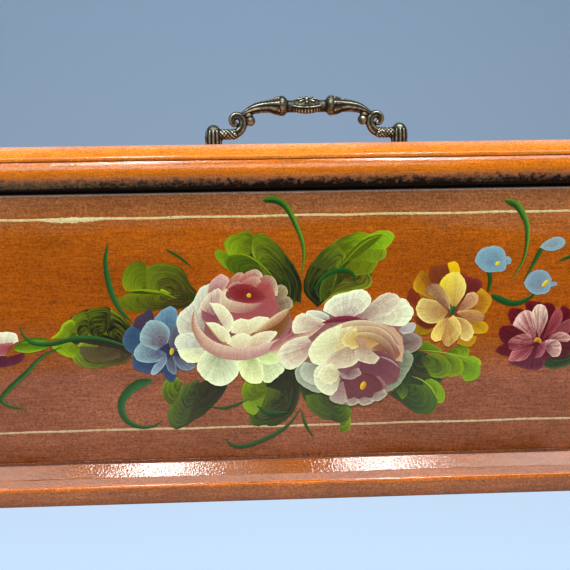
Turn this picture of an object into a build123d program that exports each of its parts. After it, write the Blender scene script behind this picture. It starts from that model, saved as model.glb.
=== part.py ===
from build123d import *
import math
import os

# Painted wooden box for papers and keepsakes: a walled body on a mitred base moulding, a framed
# lid on two butt hinges, and a cast bow handle. Millimetres, +Z up, the front looks along -Y,
# the origin is under the middle of the box on the surface that it stands on.

os.makedirs("parts", exist_ok=True)

# Body
box_width = 330.0
box_depth = 236.0
body_height = 122.5
wall = 10.0
rabbet_depth = 5.0
wall_arris = 0.8

# Bottom panel in its groove
bottom_thickness = 4.0
groove_height = 6.0
groove_depth = 4.0
groove_slack = 0.3

# Base moulding, as (distance out from the wall, height)
moulding_reach = 9.0
moulding_height = 15.4
moulding_face = 6.6
moulding_nose = 1.4
moulding_ledge = 0.9
moulding_strip = 1.2
moulding_bend_out = 5.4
moulding_bend_height = 10.2

# Lid
lid_overhang = 6.0
rail_thickness = 12.5
rail_width = 20.0
rail_setback = 2.4
rail_undercut = 3.4
rail_belly = 7.0
shadow_gap = 1.4
shadow_gap_depth = 4.0
lid_panel_thickness = 6.0
lid_panel_setback = 1.6
lid_panel_run = 7.0
lid_panel_edge = 1.0
lid_arris = 0.5

# Headless brads, driven and set below the surface
brad_radius = 0.6
brad_length = 22.0
moulding_brad_length = 14.0
lid_brad_length = 14.0
brad_set = 1.0
brad_slack = 0.02
corner_brad_inset = 25.0
corner_brad_count = 3
moulding_brad_height = 3.4
front_brad_inset = 35.0
front_brad_count = 4
side_brad_inset = 43.0
side_brad_count = 3

# Butt hinges on the back
hinge_inset = 70.0
hinge_length = 30.0
leaf_thickness = 1.2
leaf_height = 11.0
knuckle_radius = 2.2
knuckle_count = 5
knuckle_gap = 0.15
leaf_relief = 0.25
leaf_corner = 1.0
pin_radius = 1.0
pin_slack = 0.03
pin_head_radius = 1.7
pin_head_height = 0.8

# Countersunk hinge screws
hinge_screw_spacing = 18.0
hinge_screw_radius = 1.1
hinge_screw_head_radius = 2.1
hinge_screw_head_height = 1.0
hinge_screw_length = 9.0
hinge_screw_drop = 7.0
screw_slot_width = 0.5
screw_slot_depth = 0.4
screw_slack = 0.02

# Cast bow handle
handle_spacing = 96.0
foot_radius = 4.2
foot_flange_radius = 5.2
foot_flange_height = 1.2
foot_height = 13.6
flute_count = 10
flute_radius = 0.55
arm_radius = 2.5
arm_height = 8.3
arm_run = 9.2
curl_radii = (6.1, 3.7, 1.6)
curl_step = 30
eye_radius = 1.8
eye_tube = 1.4
bow_height = 22.4
ball_place = (29.2, 15.2)
ball_radius = 2.4
cap_place = (29.9, 18.0)
cap_size = (2.4, 1.8)
knob_place = 12.8
knob_size = (3.0, 5.4)
neck_radius = 3.1
dome_size = (8.8, 4.7)
plaque_size = (9.3, 5.1)
plaque_drop = 0.7
plaque_thickness = 3.0

# Machine screws that hold the handle
handle_screw_radius = 2.0
handle_screw_depth = 6.5
handle_screw_head_radius = 3.6
handle_screw_head_height = 2.4
handle_hole_radius = 2.25
handle_screw_slot = 1.0
washer_radius = 4.5
washer_thickness = 0.8
washer_bore_radius = 2.15
thread_slack = 0.03

# Derived places
half_width = box_width / 2
half_depth = box_depth / 2
rail_top = body_height + rail_thickness
lid_top = rail_top + lid_panel_thickness
lid_half_width = half_width + lid_overhang
lid_front = -half_depth - lid_overhang
lid_back = half_depth
handle_y = (lid_front + lid_back) / 2
hinge_y = half_depth + knuckle_radius
hinge_z = body_height
arm_reach = handle_spacing / 2
hinge_spacing = box_width - 2 * hinge_inset


def evenly(low, high, count):
    """Evenly spaced places from low to high."""
    return [low + (high - low) * i / (count - 1) for i in range(count)]


corner_brad_heights = evenly(corner_brad_inset, body_height - corner_brad_inset, corner_brad_count)
front_brad_places = evenly(front_brad_inset - half_width, half_width - front_brad_inset, front_brad_count)
side_brad_places = evenly(side_brad_inset - half_depth, half_depth - side_brad_inset, side_brad_count)


def block(x0, x1, y0, y1, z0, z1):
    """A box between two corners."""
    centre = ((x0 + x1) / 2, (y0 + y1) / 2, (z0 + z1) / 2)
    return Pos(*centre) * Box(abs(x1 - x0), abs(y1 - y0), abs(z1 - z0))


def rod(start, direction, radius, length):
    """A round bar that runs from a point along a direction."""
    plane = Plane(origin=start, z_dir=direction)
    return plane * Cylinder(radius, length, align=(Align.CENTER, Align.CENTER, Align.MIN))


def save(node, pieces):
    """Writes one node, made of one solid or several."""
    solids = pieces if isinstance(pieces, list) else [pieces]
    shape = solids[0] if len(solids) == 1 else Compound(children=list(solids))
    export_step(shape, f"parts/{node}.step")


# Brads: each is (start, direction, length), with its start set below the outer surface

def corner_brads():
    x = half_width - wall / 2
    places = []
    for side in (-1, 1):
        for face in (-1, 1):
            for z in corner_brad_heights:
                start = (side * x, face * (half_depth - brad_set), z)
                places.append((start, (0, -face, 0), brad_length))
    return places


def moulding_brads():
    out = moulding_reach - brad_set
    places = []
    for face in (-1, 1):
        for x in front_brad_places:
            start = (x, face * (half_depth + out), moulding_brad_height)
            places.append((start, (0, -face, 0), moulding_brad_length))
        for y in side_brad_places:
            start = (face * (half_width + out), y, moulding_brad_height)
            places.append((start, (-face, 0, 0), moulding_brad_length))
    return places


def lid_brads():
    front = lid_front + rail_width / 2
    back = lid_back - rail_width / 2
    side = lid_half_width - rail_width / 2
    spots = [(x, y) for x in front_brad_places for y in (front, back)]
    spots += [(x, y) for x in (-side, side) for y in side_brad_places]
    return [((x, y, lid_top - brad_set), (0, 0, -1), lid_brad_length) for x, y in spots]


def brads(places):
    return [rod(start, way, brad_radius, length) for start, way, length in places]


def drilled(piece, places):
    """The piece with the brads' holes in it."""
    for start, way, length in places:
        piece -= rod(start, way, brad_radius + brad_slack, length)
    return piece


# Body walls

def bottom_groove():
    """The slot round the inside of the walls that the bottom panel slides into."""
    x = half_width - wall + groove_depth
    y = half_depth - wall + groove_depth
    top = groove_height + bottom_thickness + groove_slack
    return block(-x, x, -y, y, groove_height, top)


def long_wall(face):
    """Front (-1) or back (1) panel, rabbeted at its ends for the side panels."""
    inner = face * (half_depth - wall)
    outer = face * half_depth
    panel = block(-half_width, half_width, inner, outer, 0, body_height)
    step = face * (half_depth - rabbet_depth)
    for side in (-1, 1):
        end = side * half_width
        panel -= block(end, side * (half_width - wall), inner, step, 0, body_height)
    top_edge = panel.edges().filter_by(Axis.X).sort_by(Axis.Z)[-2:]
    outer_edge = top_edge.sort_by(lambda edge: abs(edge.center().Y))[-1]
    panel = fillet(outer_edge, wall_arris)
    return drilled(panel - bottom_groove(), corner_brads() + moulding_brads())


def side_wall(side):
    """Left (-1) or right (1) panel, let into the front and back panels."""
    outer = side * half_width
    inner = side * (half_width - wall)
    end = half_depth - rabbet_depth
    panel = block(inner, outer, -end, end, 0, body_height)
    top_edge = panel.edges().filter_by(Axis.Y).sort_by(Axis.Z)[-2:]
    outer_edge = top_edge.sort_by(lambda edge: abs(edge.center().X))[-1]
    panel = fillet(outer_edge, wall_arris)
    return drilled(panel - bottom_groove(), corner_brads() + moulding_brads())


def bottom_panel():
    x = half_width - wall + groove_depth - groove_slack
    y = half_depth - wall + groove_depth - groove_slack
    return block(-x, x, -y, y, groove_height, groove_height + bottom_thickness)


# Base moulding

def moulding_profile():
    """The moulding's section: x is the distance out from the wall, y is the height."""
    shoulder = moulding_height - moulding_strip
    nose_out = moulding_reach - moulding_nose * 0.7
    nose_top = moulding_face + moulding_nose
    with BuildSketch() as section:
        with BuildLine():
            Polyline((0, 0), (moulding_reach, 0), (moulding_reach, moulding_face))
            TangentArc((moulding_reach, moulding_face), (nose_out, nose_top), tangent=(0, 1))
            Polyline(
                (nose_out, nose_top),
                (moulding_bend_out, moulding_bend_height),
                (moulding_ledge, shoulder),
                (moulding_ledge, moulding_height),
                (0, moulding_height),
                (0, 0),
            )
        make_face()
    return section.sketch


def mitred(section, wall_face, half_run, mitre_ends):
    """Extrudes a section (x out from the wall, y up) along +X and mitres its ends at 45 degrees.

    The bar lies along X with its back on the plane y = -wall_face and its section towards -Y."""
    plane = Plane(origin=(0, -wall_face, 0), x_dir=(0, -1, 0), z_dir=(-1, 0, 0))
    reach = section.bounding_box().max.X
    depth = section.bounding_box().min.X
    high = section.bounding_box().max.Y
    long = half_run + reach
    bar = extrude(plane * section, amount=long, both=True)
    for end in (-1, 1):
        if end in mitre_ends:
            with BuildSketch(Plane.XY) as corner:
                with BuildLine():
                    Polyline(
                        (end * (half_run + depth), -wall_face - depth),
                        (end * (half_run + reach), -wall_face - reach),
                        (end * (half_run + 3 * reach), -wall_face - reach),
                        (end * (half_run + 3 * reach), -wall_face - depth),
                        (end * (half_run + depth), -wall_face - depth),
                        close=False,
                    )
                make_face()
            bar -= extrude(corner.sketch, amount=2 * high)
    return bar


def base_moulding(quarter):
    """One length of the base moulding: quarter turns 0 front, 1 right, 2 back, 3 left."""
    along_front = quarter % 2 == 0
    wall_face = half_depth if along_front else half_width
    half_run = half_width if along_front else half_depth
    bar = mitred(moulding_profile(), wall_face, half_run, (-1, 1))
    return drilled(Rot(0, 0, 90 * quarter) * bar, moulding_brads())


# Lid

def rail_profile():
    """A rail's section: flat inside, half round outside, x is the distance out from the wall.

    Its underside bears on the wall, and is relieved towards the front for a shadow gap."""
    inner = lid_overhang - rail_width
    top_edge = (lid_overhang - rail_setback, rail_thickness)
    low_edge = (lid_overhang - rail_undercut, shadow_gap)
    belly = (lid_overhang, rail_belly)
    with BuildSketch() as section:
        with BuildLine():
            Polyline(
                low_edge,
                (-shadow_gap_depth, shadow_gap),
                (-shadow_gap_depth, 0),
                (inner, 0),
                (inner, rail_thickness),
                top_edge,
            )
            TangentArc(belly, top_edge, tangent=(0, 1))
            TangentArc(belly, low_edge, tangent=(0, -1))
        make_face()
    return section.sketch


def edge_rail(quarter):
    """A moulded rail: quarter 0 front, 1 right, 3 left. The side rails run square to the back."""
    profile = Pos(0, body_height) * rail_profile()
    if quarter == 0:
        bar = mitred(profile, half_depth, half_width, (-1, 1))
    else:
        front_end = -1 if quarter == 1 else 1
        bar = Rot(0, 0, 90 * quarter) * mitred(profile, half_width, half_depth, (front_end,))
        far = 2 * box_width
        bar -= block(-far, far, lid_back, lid_back + far, 0, 2 * lid_top)
    return bar


def back_rail():
    """The plain rail between the side rails, flush with the back."""
    x = lid_half_width - rail_width
    rail = block(-x, x, lid_back - rail_width, lid_back, body_height, rail_top)
    return rail


def lid_panel():
    """The top board, with its front and side edges rounded over and its back edge square."""
    edge = lid_front + lid_panel_setback
    side = lid_half_width - lid_panel_setback
    low = rail_top + lid_arris
    start = rail_top + lid_panel_edge
    drop = lid_top - start

    def rounded(near, far, far_round):
        """Board section from near to far, with its top edge rounded at near, and at far if asked."""
        with BuildSketch() as section:
            with BuildLine():
                Polyline((near + lid_arris, rail_top), (near, low), (near, start))
                EllipticalCenterArc(
                    (near + lid_panel_run, start), lid_panel_run, drop, 90, arc_size=90
                )
                if far_round:
                    Line((near + lid_panel_run, lid_top), (far - lid_panel_run, lid_top))
                    EllipticalCenterArc(
                        (far - lid_panel_run, start), lid_panel_run, drop, 0, arc_size=90
                    )
                    Polyline((far, start), (far, low), (far - lid_arris, rail_top))
                    Line((far - lid_arris, rail_top), (near + lid_arris, rail_top))
                else:
                    Polyline((near + lid_panel_run, lid_top), (far, lid_top), (far, rail_top))
                    Line((far, rail_top), (near + lid_arris, rail_top))
            make_face()
        return section.sketch

    across = extrude(Plane.YZ * rounded(edge, lid_back, False), amount=side + 1, both=True)
    along = extrude(Plane.XZ * rounded(-side, side, True), amount=box_depth, both=True)
    board = across & along
    for x in (-arm_reach, arm_reach):
        board -= rod((x, handle_y, rail_top), (0, 0, 1), handle_hole_radius, lid_panel_thickness)
    return drilled(board, lid_brads())


# Hinges

def knuckle_spans(centre, lid_side):
    """Where the lid leaf's or the box leaf's knuckles lie along the hinge."""
    pitch = hinge_length / knuckle_count
    start = centre - hinge_length / 2
    wanted = 1 if lid_side else 0
    spans = []
    for i in range(knuckle_count):
        if i % 2 == wanted:
            low = start + i * pitch + (knuckle_gap / 2 if i > 0 else 0)
            high = start + (i + 1) * pitch - (knuckle_gap / 2 if i < knuckle_count - 1 else 0)
            spans.append((low, high))
    return spans


def hinge_screw_places(centre, lid_side):
    """(start on the leaf's outer face, direction into the wood) of each screw in a leaf."""
    up = 1 if lid_side else -1
    z = hinge_z + up * hinge_screw_drop
    y = half_depth + leaf_thickness
    spread = hinge_screw_spacing / 2
    return [((centre + dx, y, z), (0, -1, 0)) for dx in (-spread, spread)]


def countersunk(start, way, slack):
    """A countersunk screw's outline: its head cone and its shank."""
    cone = Plane(origin=start, z_dir=way) * Cone(
        hinge_screw_head_radius + slack,
        hinge_screw_radius + slack,
        hinge_screw_head_height,
        align=(Align.CENTER, Align.CENTER, Align.MIN),
    )
    return cone + rod(start, way, hinge_screw_radius + slack, hinge_screw_length)


def hinge_leaf(centre, lid_side):
    """A leaf: a plate on the wood, with knuckles curled round the pin."""
    up = 1 if lid_side else -1
    clear = knuckle_radius + leaf_relief
    x0, x1 = centre - hinge_length / 2, centre + hinge_length / 2
    y0, y1 = half_depth, half_depth + leaf_thickness
    plate = block(x0, x1, y0, y1, hinge_z + up * clear, hinge_z + up * leaf_height)
    outer = plate.edges().filter_by(Axis.Y).sort_by(lambda edge: up * edge.center().Z)[-2:]
    leaf = fillet(outer, leaf_corner)
    for low, high in knuckle_spans(centre, lid_side):
        leaf += rod((low, hinge_y, hinge_z), (1, 0, 0), knuckle_radius, high - low)
        leaf += block(low, high, y0, y1, hinge_z, hinge_z + up * (clear + leaf_relief))
    leaf -= rod((x0 - 1, hinge_y, hinge_z), (1, 0, 0), pin_radius + pin_slack, hinge_length + 2)
    for start, way in hinge_screw_places(centre, lid_side):
        leaf -= countersunk(start, way, screw_slack)
    return leaf


def hinge_pin(centre):
    """The pin, with a button head at each end that keeps it in the knuckles."""
    x0 = centre - hinge_length / 2
    pin = rod((x0, hinge_y, hinge_z), (1, 0, 0), pin_radius, hinge_length)
    for end, way in ((x0, -1), (x0 + hinge_length, 1)):
        pin += rod((end, hinge_y, hinge_z), (way, 0, 0), pin_head_radius, pin_head_height)
    return pin


def hinge_screw(start, way):
    """A slotted countersunk screw, flush with its leaf."""
    x, y, z = start
    half_slot = screw_slot_width / 2
    reach = hinge_screw_head_radius + 1
    slot = block(x - reach, x + reach, y - screw_slot_depth, y + 1, z - half_slot, z + half_slot)
    return countersunk(start, way, 0) - slot


hinge_centres = {"left": -hinge_spacing / 2, "right": hinge_spacing / 2}


def hinge_screws(lid_side):
    places = [p for c in hinge_centres.values() for p in hinge_screw_places(c, lid_side)]
    return [hinge_screw(start, way) for start, way in places]


def screwed(piece, lid_side):
    """A wall or a rail with the hinge screws' holes."""
    for centre in hinge_centres.values():
        for start, way in hinge_screw_places(centre, lid_side):
            piece -= rod(start, way, hinge_screw_radius + screw_slack, hinge_screw_length)
    return piece


# Handle, cast in one piece, in its own frame: x along the bow, z up from the lid

def ellipsoid(x, z, half_length, radius):
    """A body of revolution about the X direction, centred at (x, 0, z)."""
    with BuildSketch(Plane.XZ) as half:
        with BuildLine():
            EllipticalCenterArc((0, 0), half_length, radius, 0, arc_size=180)
            Line((-half_length, 0), (half_length, 0))
        make_face()
    return Pos(x, 0, z) * Rot(180, 0, 0) * revolve(half.sketch, Axis.X)


def foot():
    """A fluted post on a thin flange, with a round top, centred on the Z axis."""
    collar = foot_flange_height + foot_flange_radius - foot_radius
    shaft_top = foot_height - foot_radius
    with BuildSketch(Plane.XZ) as half:
        with BuildLine():
            Polyline(
                (0, foot_height),
                (0, 0),
                (foot_flange_radius, 0),
                (foot_flange_radius, foot_flange_height),
                (foot_radius, collar),
                (foot_radius, shaft_top),
            )
            CenterArc((0, shaft_top), foot_radius, 0, 90)
        make_face()
    post = revolve(half.sketch, Axis.Z)
    for i in range(flute_count):
        angle = 2 * math.pi * (i + 0.5) / flute_count
        place = (foot_radius * math.cos(angle), foot_radius * math.sin(angle), collar)
        post -= rod(place, (0, 0, 1), flute_radius, shaft_top - collar - flute_radius)
    return post


def scroll():
    """The lower arm: it leaves the foot level, rises, and curls back over itself to a tight eye.

    Three quarter turns of falling radius meet in line, and the tube thins evenly along them."""
    x, z = arm_reach - arm_run, arm_height
    stations = [(arm_reach - foot_radius / 2, z, (-1, 0)), ((x + arm_reach) / 2, z, (-1, 0))]
    for turn, radius in enumerate(curl_radii):
        start = math.radians(270 - 90 * turn)
        hub = (x - radius * math.cos(start), z - radius * math.sin(start))
        for step in range(0, 90, curl_step):
            angle = start - math.radians(step)
            place = (hub[0] + radius * math.cos(angle), hub[1] + radius * math.sin(angle))
            stations.append((*place, (math.sin(angle), -math.cos(angle))))
        x = hub[0] + radius * math.cos(start - math.pi / 2)
        z = hub[1] + radius * math.sin(start - math.pi / 2)
    sections = []
    for i, (sx, sz, way) in enumerate(stations):
        tube = arm_radius + (eye_tube - arm_radius) * max(0, i - 2) / (len(stations) - 3)
        plane = Plane(origin=(sx, 0, sz), x_dir=(0, 1, 0), z_dir=(way[0], 0, way[1]))
        sections.append(plane * Circle(tube))
    return loft(sections) + Pos(stations[-1][0], 0, stations[-1][1]) * Sphere(eye_radius)


def upper_arm():
    """The horn-shaped arm from the scroll up to the knob, on the +X side."""
    # (x, z, half height, half depth), from the scroll to the knob
    stations = (
        (34.2, 17.2, 1.2, 1.6),
        (31.4, 19.0, 1.7, 2.2),
        (28.4, 20.5, 2.3, 2.7),
        (25.2, 21.5, 2.8, 3.1),
        (22.0, 22.1, 3.1, 3.4),
        (18.7, bow_height, 3.6, 3.8),
        (15.6, bow_height, 4.1, 4.2),
        (knob_place, bow_height, 4.2, 4.3),
    )
    sections = []
    for i, (x, z, high, deep) in enumerate(stations):
        before = stations[max(i - 1, 0)]
        after = stations[min(i + 1, len(stations) - 1)]
        way = Vector(after[0] - before[0], 0, after[1] - before[1])
        plane = Plane(origin=(x, 0, z), x_dir=(0, 1, 0), z_dir=way)
        sections.append(plane * Ellipse(deep, high))
    return loft(sections)


def half_bow():
    """Everything on the +X side of the bow but the foot's bore."""
    side = Pos(arm_reach, 0, 0) * foot()
    side += scroll()
    side += upper_arm()
    side += Pos(ball_place[0], 0, ball_place[1]) * Sphere(ball_radius)
    side += ellipsoid(*cap_place, *cap_size)
    side += ellipsoid(knob_place, bow_height, *knob_size)
    return side


def medallion():
    """The swelling at the middle of the bow: an oval plaque with a dome on it, between two necks."""
    body = rod((-knob_place, 0, bow_height), (1, 0, 0), neck_radius, 2 * knob_place)
    body += ellipsoid(0, bow_height, *dome_size)
    floor = Plane.XY.offset(bow_height - plaque_drop - plaque_thickness)
    return body + extrude(floor * Ellipse(*plaque_size), amount=plaque_thickness)


def handle():
    side = half_bow()
    bow = side + mirror(side, Plane.YZ) + medallion()
    for x in (-arm_reach, arm_reach):
        bow -= rod((x, 0, 0), (0, 0, 1), handle_screw_radius + thread_slack, handle_screw_depth + 1)
    return Pos(0, handle_y, lid_top) * bow


def handle_screw(x):
    """A slotted pan-head machine screw, from inside the lid up into a foot."""
    seat = rail_top - washer_thickness
    under = seat - handle_screw_head_height
    shank = lid_top + handle_screw_depth - seat
    head = rod((x, handle_y, seat), (0, 0, -1), handle_screw_head_radius, handle_screw_head_height)
    head = fillet(head.edges().sort_by(Axis.Z)[0], handle_screw_head_height / 3)
    screw = head + rod((x, handle_y, seat), (0, 0, 1), handle_screw_radius, shank)
    half_slot = handle_screw_slot / 2
    reach = handle_screw_head_radius + 1
    slot = block(
        x - reach, x + reach, handle_y - half_slot, handle_y + half_slot, under, under + handle_screw_slot
    )
    return screw - slot


def washer(x):
    disc = rod((x, handle_y, rail_top), (0, 0, -1), washer_radius, washer_thickness)
    return disc - rod((x, handle_y, rail_top), (0, 0, -1), washer_bore_radius, washer_thickness)


# Body
save("front_panel", long_wall(-1))
save("back_panel", screwed(long_wall(1), False))
save("left_side", side_wall(-1))
save("right_side", side_wall(1))
save("bottom_panel", bottom_panel())
for quarter, name in enumerate(("front", "right", "back", "left")):
    save(f"base_moulding_{name}", base_moulding(quarter))
save("corner_brads", brads(corner_brads()))
save("moulding_brads", brads(moulding_brads()))

# Lid
save("lid_panel", lid_panel())
for quarter, name in ((0, "front"), (1, "right"), (3, "left")):
    save(f"lid_rail_{name}", drilled(edge_rail(quarter), lid_brads()))
save("lid_rail_back", screwed(drilled(back_rail(), lid_brads()), True))
save("lid_brads", brads(lid_brads()))

# Hinges
for name, centre in hinge_centres.items():
    save(f"hinge_{name}_box_leaf", hinge_leaf(centre, False))
    save(f"hinge_{name}_lid_leaf", hinge_leaf(centre, True))
    save(f"hinge_{name}_pin", hinge_pin(centre))
save("hinge_box_screws", hinge_screws(False))
save("hinge_lid_screws", hinge_screws(True))

# Handle
save("handle", handle())
save("handle_screws", [handle_screw(x) for x in (-arm_reach, arm_reach)])
save("handle_washers", [washer(x) for x in (-arm_reach, arm_reach)])
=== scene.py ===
import math

import bpy
import numpy as np
from mathutils import Matrix, Vector


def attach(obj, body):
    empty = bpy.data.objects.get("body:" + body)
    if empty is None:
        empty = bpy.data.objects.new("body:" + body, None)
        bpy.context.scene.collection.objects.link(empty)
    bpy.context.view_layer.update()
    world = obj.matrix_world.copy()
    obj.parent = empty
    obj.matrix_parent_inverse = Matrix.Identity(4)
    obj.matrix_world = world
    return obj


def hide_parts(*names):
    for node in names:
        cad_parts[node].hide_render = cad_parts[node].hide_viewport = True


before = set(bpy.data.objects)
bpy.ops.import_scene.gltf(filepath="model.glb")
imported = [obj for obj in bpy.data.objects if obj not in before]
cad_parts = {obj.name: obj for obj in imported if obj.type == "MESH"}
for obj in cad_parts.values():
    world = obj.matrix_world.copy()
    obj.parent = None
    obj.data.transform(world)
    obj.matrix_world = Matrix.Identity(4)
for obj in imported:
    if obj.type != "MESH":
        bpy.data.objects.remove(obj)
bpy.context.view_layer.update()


# Box walls: four softwood boards, rabbeted and nailed at the corners. Outside they are stained amber
# and brushed with clear varnish; inside the wood is bare.

MM = 0.001


def colour(code):
    """An sRGB hex colour as linear red, green, blue and alpha."""
    parts = [int(code[i:i + 2], 16) / 255 for i in (1, 3, 5)]
    return [p / 12.92 if p <= 0.04045 else ((p + 0.055) / 1.055) ** 2.4 for p in parts] + [1.0]


def add(tree, kind, inputs=None, ramp=(), **settings):
    """Adds a node with its settings, and its inputs as values or as links from other nodes."""
    node = tree.nodes.new(kind)
    for name, value in settings.items():
        setattr(node, name, value)
    for i, (place, tone) in enumerate(ramp):
        stops = node.color_ramp.elements
        stop = stops[i] if i < 2 else stops.new(place)
        stop.position = place
        stop.color = colour(tone)
    for name, value in (inputs or {}).items():
        if isinstance(name, int):
            socket = node.inputs[name]
        else:
            socket = next(s for s in node.inputs if s.name == name and s.enabled)
        if isinstance(value, bpy.types.Node):
            value = next(s for s in value.outputs if s.enabled)
        if isinstance(value, bpy.types.NodeSocket):
            tree.links.new(value, socket)
        else:
            socket.default_value = value
    return node


def new_material(name):
    """An empty material and its node tree."""
    made = bpy.data.materials.new(name)
    made.use_nodes = True
    made.node_tree.nodes.clear()
    return made, made.node_tree


def grain_noise(tree, place, along, across, grain, **more):
    """Noise drawn out along the grain: along and across are the lengths of its streaks in mm."""
    stretch = [1 / (across * MM)] * 3
    stretch[grain] = 1 / (along * MM)
    drawn_out = add(tree, "ShaderNodeMapping", {"Vector": place, "Scale": stretch})
    return add(tree, "ShaderNodeTexNoise", {"Vector": drawn_out, "Scale": 1.0, **more})


def even_noise(tree, place, size, detail, roughness=0.5):
    """Noise with lumps about so many mm across, alike in every direction."""
    return add(tree, "ShaderNodeTexNoise", {
        "Vector": place, "Scale": 1 / (size * MM), "Detail": detail, "Roughness": roughness})


def spread(tree, value, low, high, to_low=0.0, to_high=1.0):
    """Stretches a value from one range to another, clamped at its ends."""
    return add(tree, "ShaderNodeMapRange", {
        "Value": value, "From Min": low, "From Max": high, "To Min": to_low, "To Max": to_high})


def reckon(tree, operation, first, second=0.0, **settings):
    """One step of arithmetic."""
    return add(tree, "ShaderNodeMath", {0: first, 1: second}, operation=operation, **settings)


def laid_over(tree, cover, under, over, **settings):
    """A colour laid over another: cover is how much of it shows."""
    return add(tree, "ShaderNodeMix", {"Factor": cover, "A": under, "B": over}, data_type="RGBA",
               **settings)


def shaded(tree, tint, tone):
    """A colour made paler or darker by a factor."""
    return add(tree, "ShaderNodeVectorMath", {0: tint, "Scale": tone}, operation="SCALE")


def bumps(tree, height, strength, depth):
    """Fine relief, so many mm deep at full strength."""
    return add(tree, "ShaderNodeBump", {"Height": height, "Strength": strength, "Distance": depth * MM})


def surfaced(made, inputs):
    """Ends a material with its shader."""
    shader = add(made.node_tree, "ShaderNodeBsdfPrincipled", inputs)
    add(made.node_tree, "ShaderNodeOutputMaterial", {"Surface": shader})
    return made


def painted_corner_highlight(tree, base, speck, height, top):
    """A painted highlight along the top corner of a wall: pale pink over its last millimetre, where the
    rounded corner catches the light.
    """
    ragged = reckon(tree, "ADD", height, spread(tree, speck, 0.3, 0.7, -0.4 * MM, 0.4 * MM))
    overlay_share = spread(tree, ragged, (top - 0.9) * MM, (top - 0.5) * MM, 0.0, 0.9)
    return laid_over(tree, overlay_share, base, colour("#f0c0a4"))


def within(tree, axes, half_sizes, top):
    """1 on the faces inside a box about the middle, below its top, and 0 outside."""
    shares = []
    for axis, half in zip("XY", half_sizes):
        shares.append(reckon(tree, "DIVIDE", reckon(tree, "ABSOLUTE", axes[axis]), half * MM))
    inner = reckon(tree, "LESS_THAN", reckon(tree, "MAXIMUM", *shares), 0.992)
    below = reckon(tree, "LESS_THAN", axes["Z"], (top - 0.05) * MM)
    return reckon(tree, "MULTIPLY", inner, below)


def varnished_wood(name, grain, bands, low, high, sway=6.0, gloss=0.08, peel=0.2, amber="#984604",
                   inside=None, dirt_and_shade=None, corner_highlight=False):
    """Softwood under amber stain and brushed varnish: fine pores, a slow drift of tone, orange-peel gloss.

    grain is the axis along the fibres and bands are (share of the height from low to high, tone),
    which sway up and down by some mm and break into specks of the amber below. Besides the stain, the
    band tones hold painted shade and painted reflections at the heights where they fall. inside is
    (half width, half depth) of a box whose faces within stay bare, dirt_and_shade a function that lays
    dirt and painted shade, and corner_highlight paints a highlight along the top corner."""
    made, tree = new_material(name)
    place = add(tree, "ShaderNodeTexCoord").outputs["Object"]
    axes = add(tree, "ShaderNodeSeparateXYZ", {"Vector": place}).outputs
    drift = grain_noise(tree, place, 70, 16, grain, Detail=4.0, Roughness=0.6)
    height = reckon(tree, "ADD", axes["Z"], spread(tree, drift, 0.3, 0.7, -sway * MM, sway * MM))
    share = spread(tree, height, low * MM, high * MM)
    # The stain's bands, with the painted shade and painted reflections in them
    stain = add(tree, "ShaderNodeValToRGB", {"Fac": share}, ramp=bands)
    # The banded tones, painted sheen among them, break into specks about 1 mm across, so the amber shows
    # between them
    speck = even_noise(tree, place, 1.0, 3.0, 0.75)
    stain = laid_over(tree, spread(tree, speck, 0.36, 0.64, 0.0, 0.75), stain, colour(amber))
    # Earlywood and latewood lines are about 0.6 mm apart; pores are short dashes between them
    lines = grain_noise(tree, place, 9, 0.6, grain, Detail=3.0, Roughness=0.65)
    pores = grain_noise(tree, place, 2.6, 0.45, grain, Detail=1.0)
    mottle = even_noise(tree, place, 0.7, 2.0, 0.8)
    cloud = grain_noise(tree, place, 40, 18, grain, Detail=2.0)
    tone = spread(tree, lines, 0.34, 0.68, 0.82, 1.16)
    for noise, start, stop, first, last in (
            (pores, 0.58, 0.74, 1.0, 0.66), (mottle, 0.34, 0.66, 0.70, 1.30),
            (cloud, 0.34, 0.66, 0.88, 1.12)):
        tone = reckon(tree, "MULTIPLY", tone, spread(tree, noise, start, stop, first, last))
    base = shaded(tree, stain, tone)
    shine = gloss
    # Dirt and painted shade, laid by the function given
    if dirt_and_shade:
        base, cover = dirt_and_shade(tree, base, place, axes, low, high)
        shine = spread(tree, cover, 0.0, 1.0, gloss, gloss * 0.1)
    # A painted highlight along the top corner of a wall
    if corner_highlight:
        base = painted_corner_highlight(tree, base, speck, axes["Z"], high)
    if inside:
        bare = within(tree, axes, inside, high)
        base = laid_over(tree, bare, base, shaded(tree, colour("#c79c68")[:3], tone))
        shine = reckon(tree, "MULTIPLY", shine, spread(tree, bare, 0.0, 1.0, 1.0, 0.0))
    # Orange peel: the varnish dried in bumps about 0.9 mm across
    peeled = bumps(tree, even_noise(tree, place, 0.9, 2.0, 0.6), peel, 0.10)
    return surfaced(made, {
        "Base Color": base, "Roughness": 0.55, "IOR": 1.5, "Specular IOR Level": 0.02,
        "Coat Weight": shine, "Coat Roughness": 0.06, "Coat IOR": 1.5,
        "Normal": bumps(tree, tone, 0.25, 0.08), "Coat Normal": peeled})


def coat(node, finish):
    """Gives a CAD node its material."""
    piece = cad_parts[node]
    piece.data.materials.clear()
    piece.data.materials.append(finish)


box_width, box_depth, body_height = 330.0, 236.0, 122.5
half_width, half_depth = box_width / 2, box_depth / 2

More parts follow.
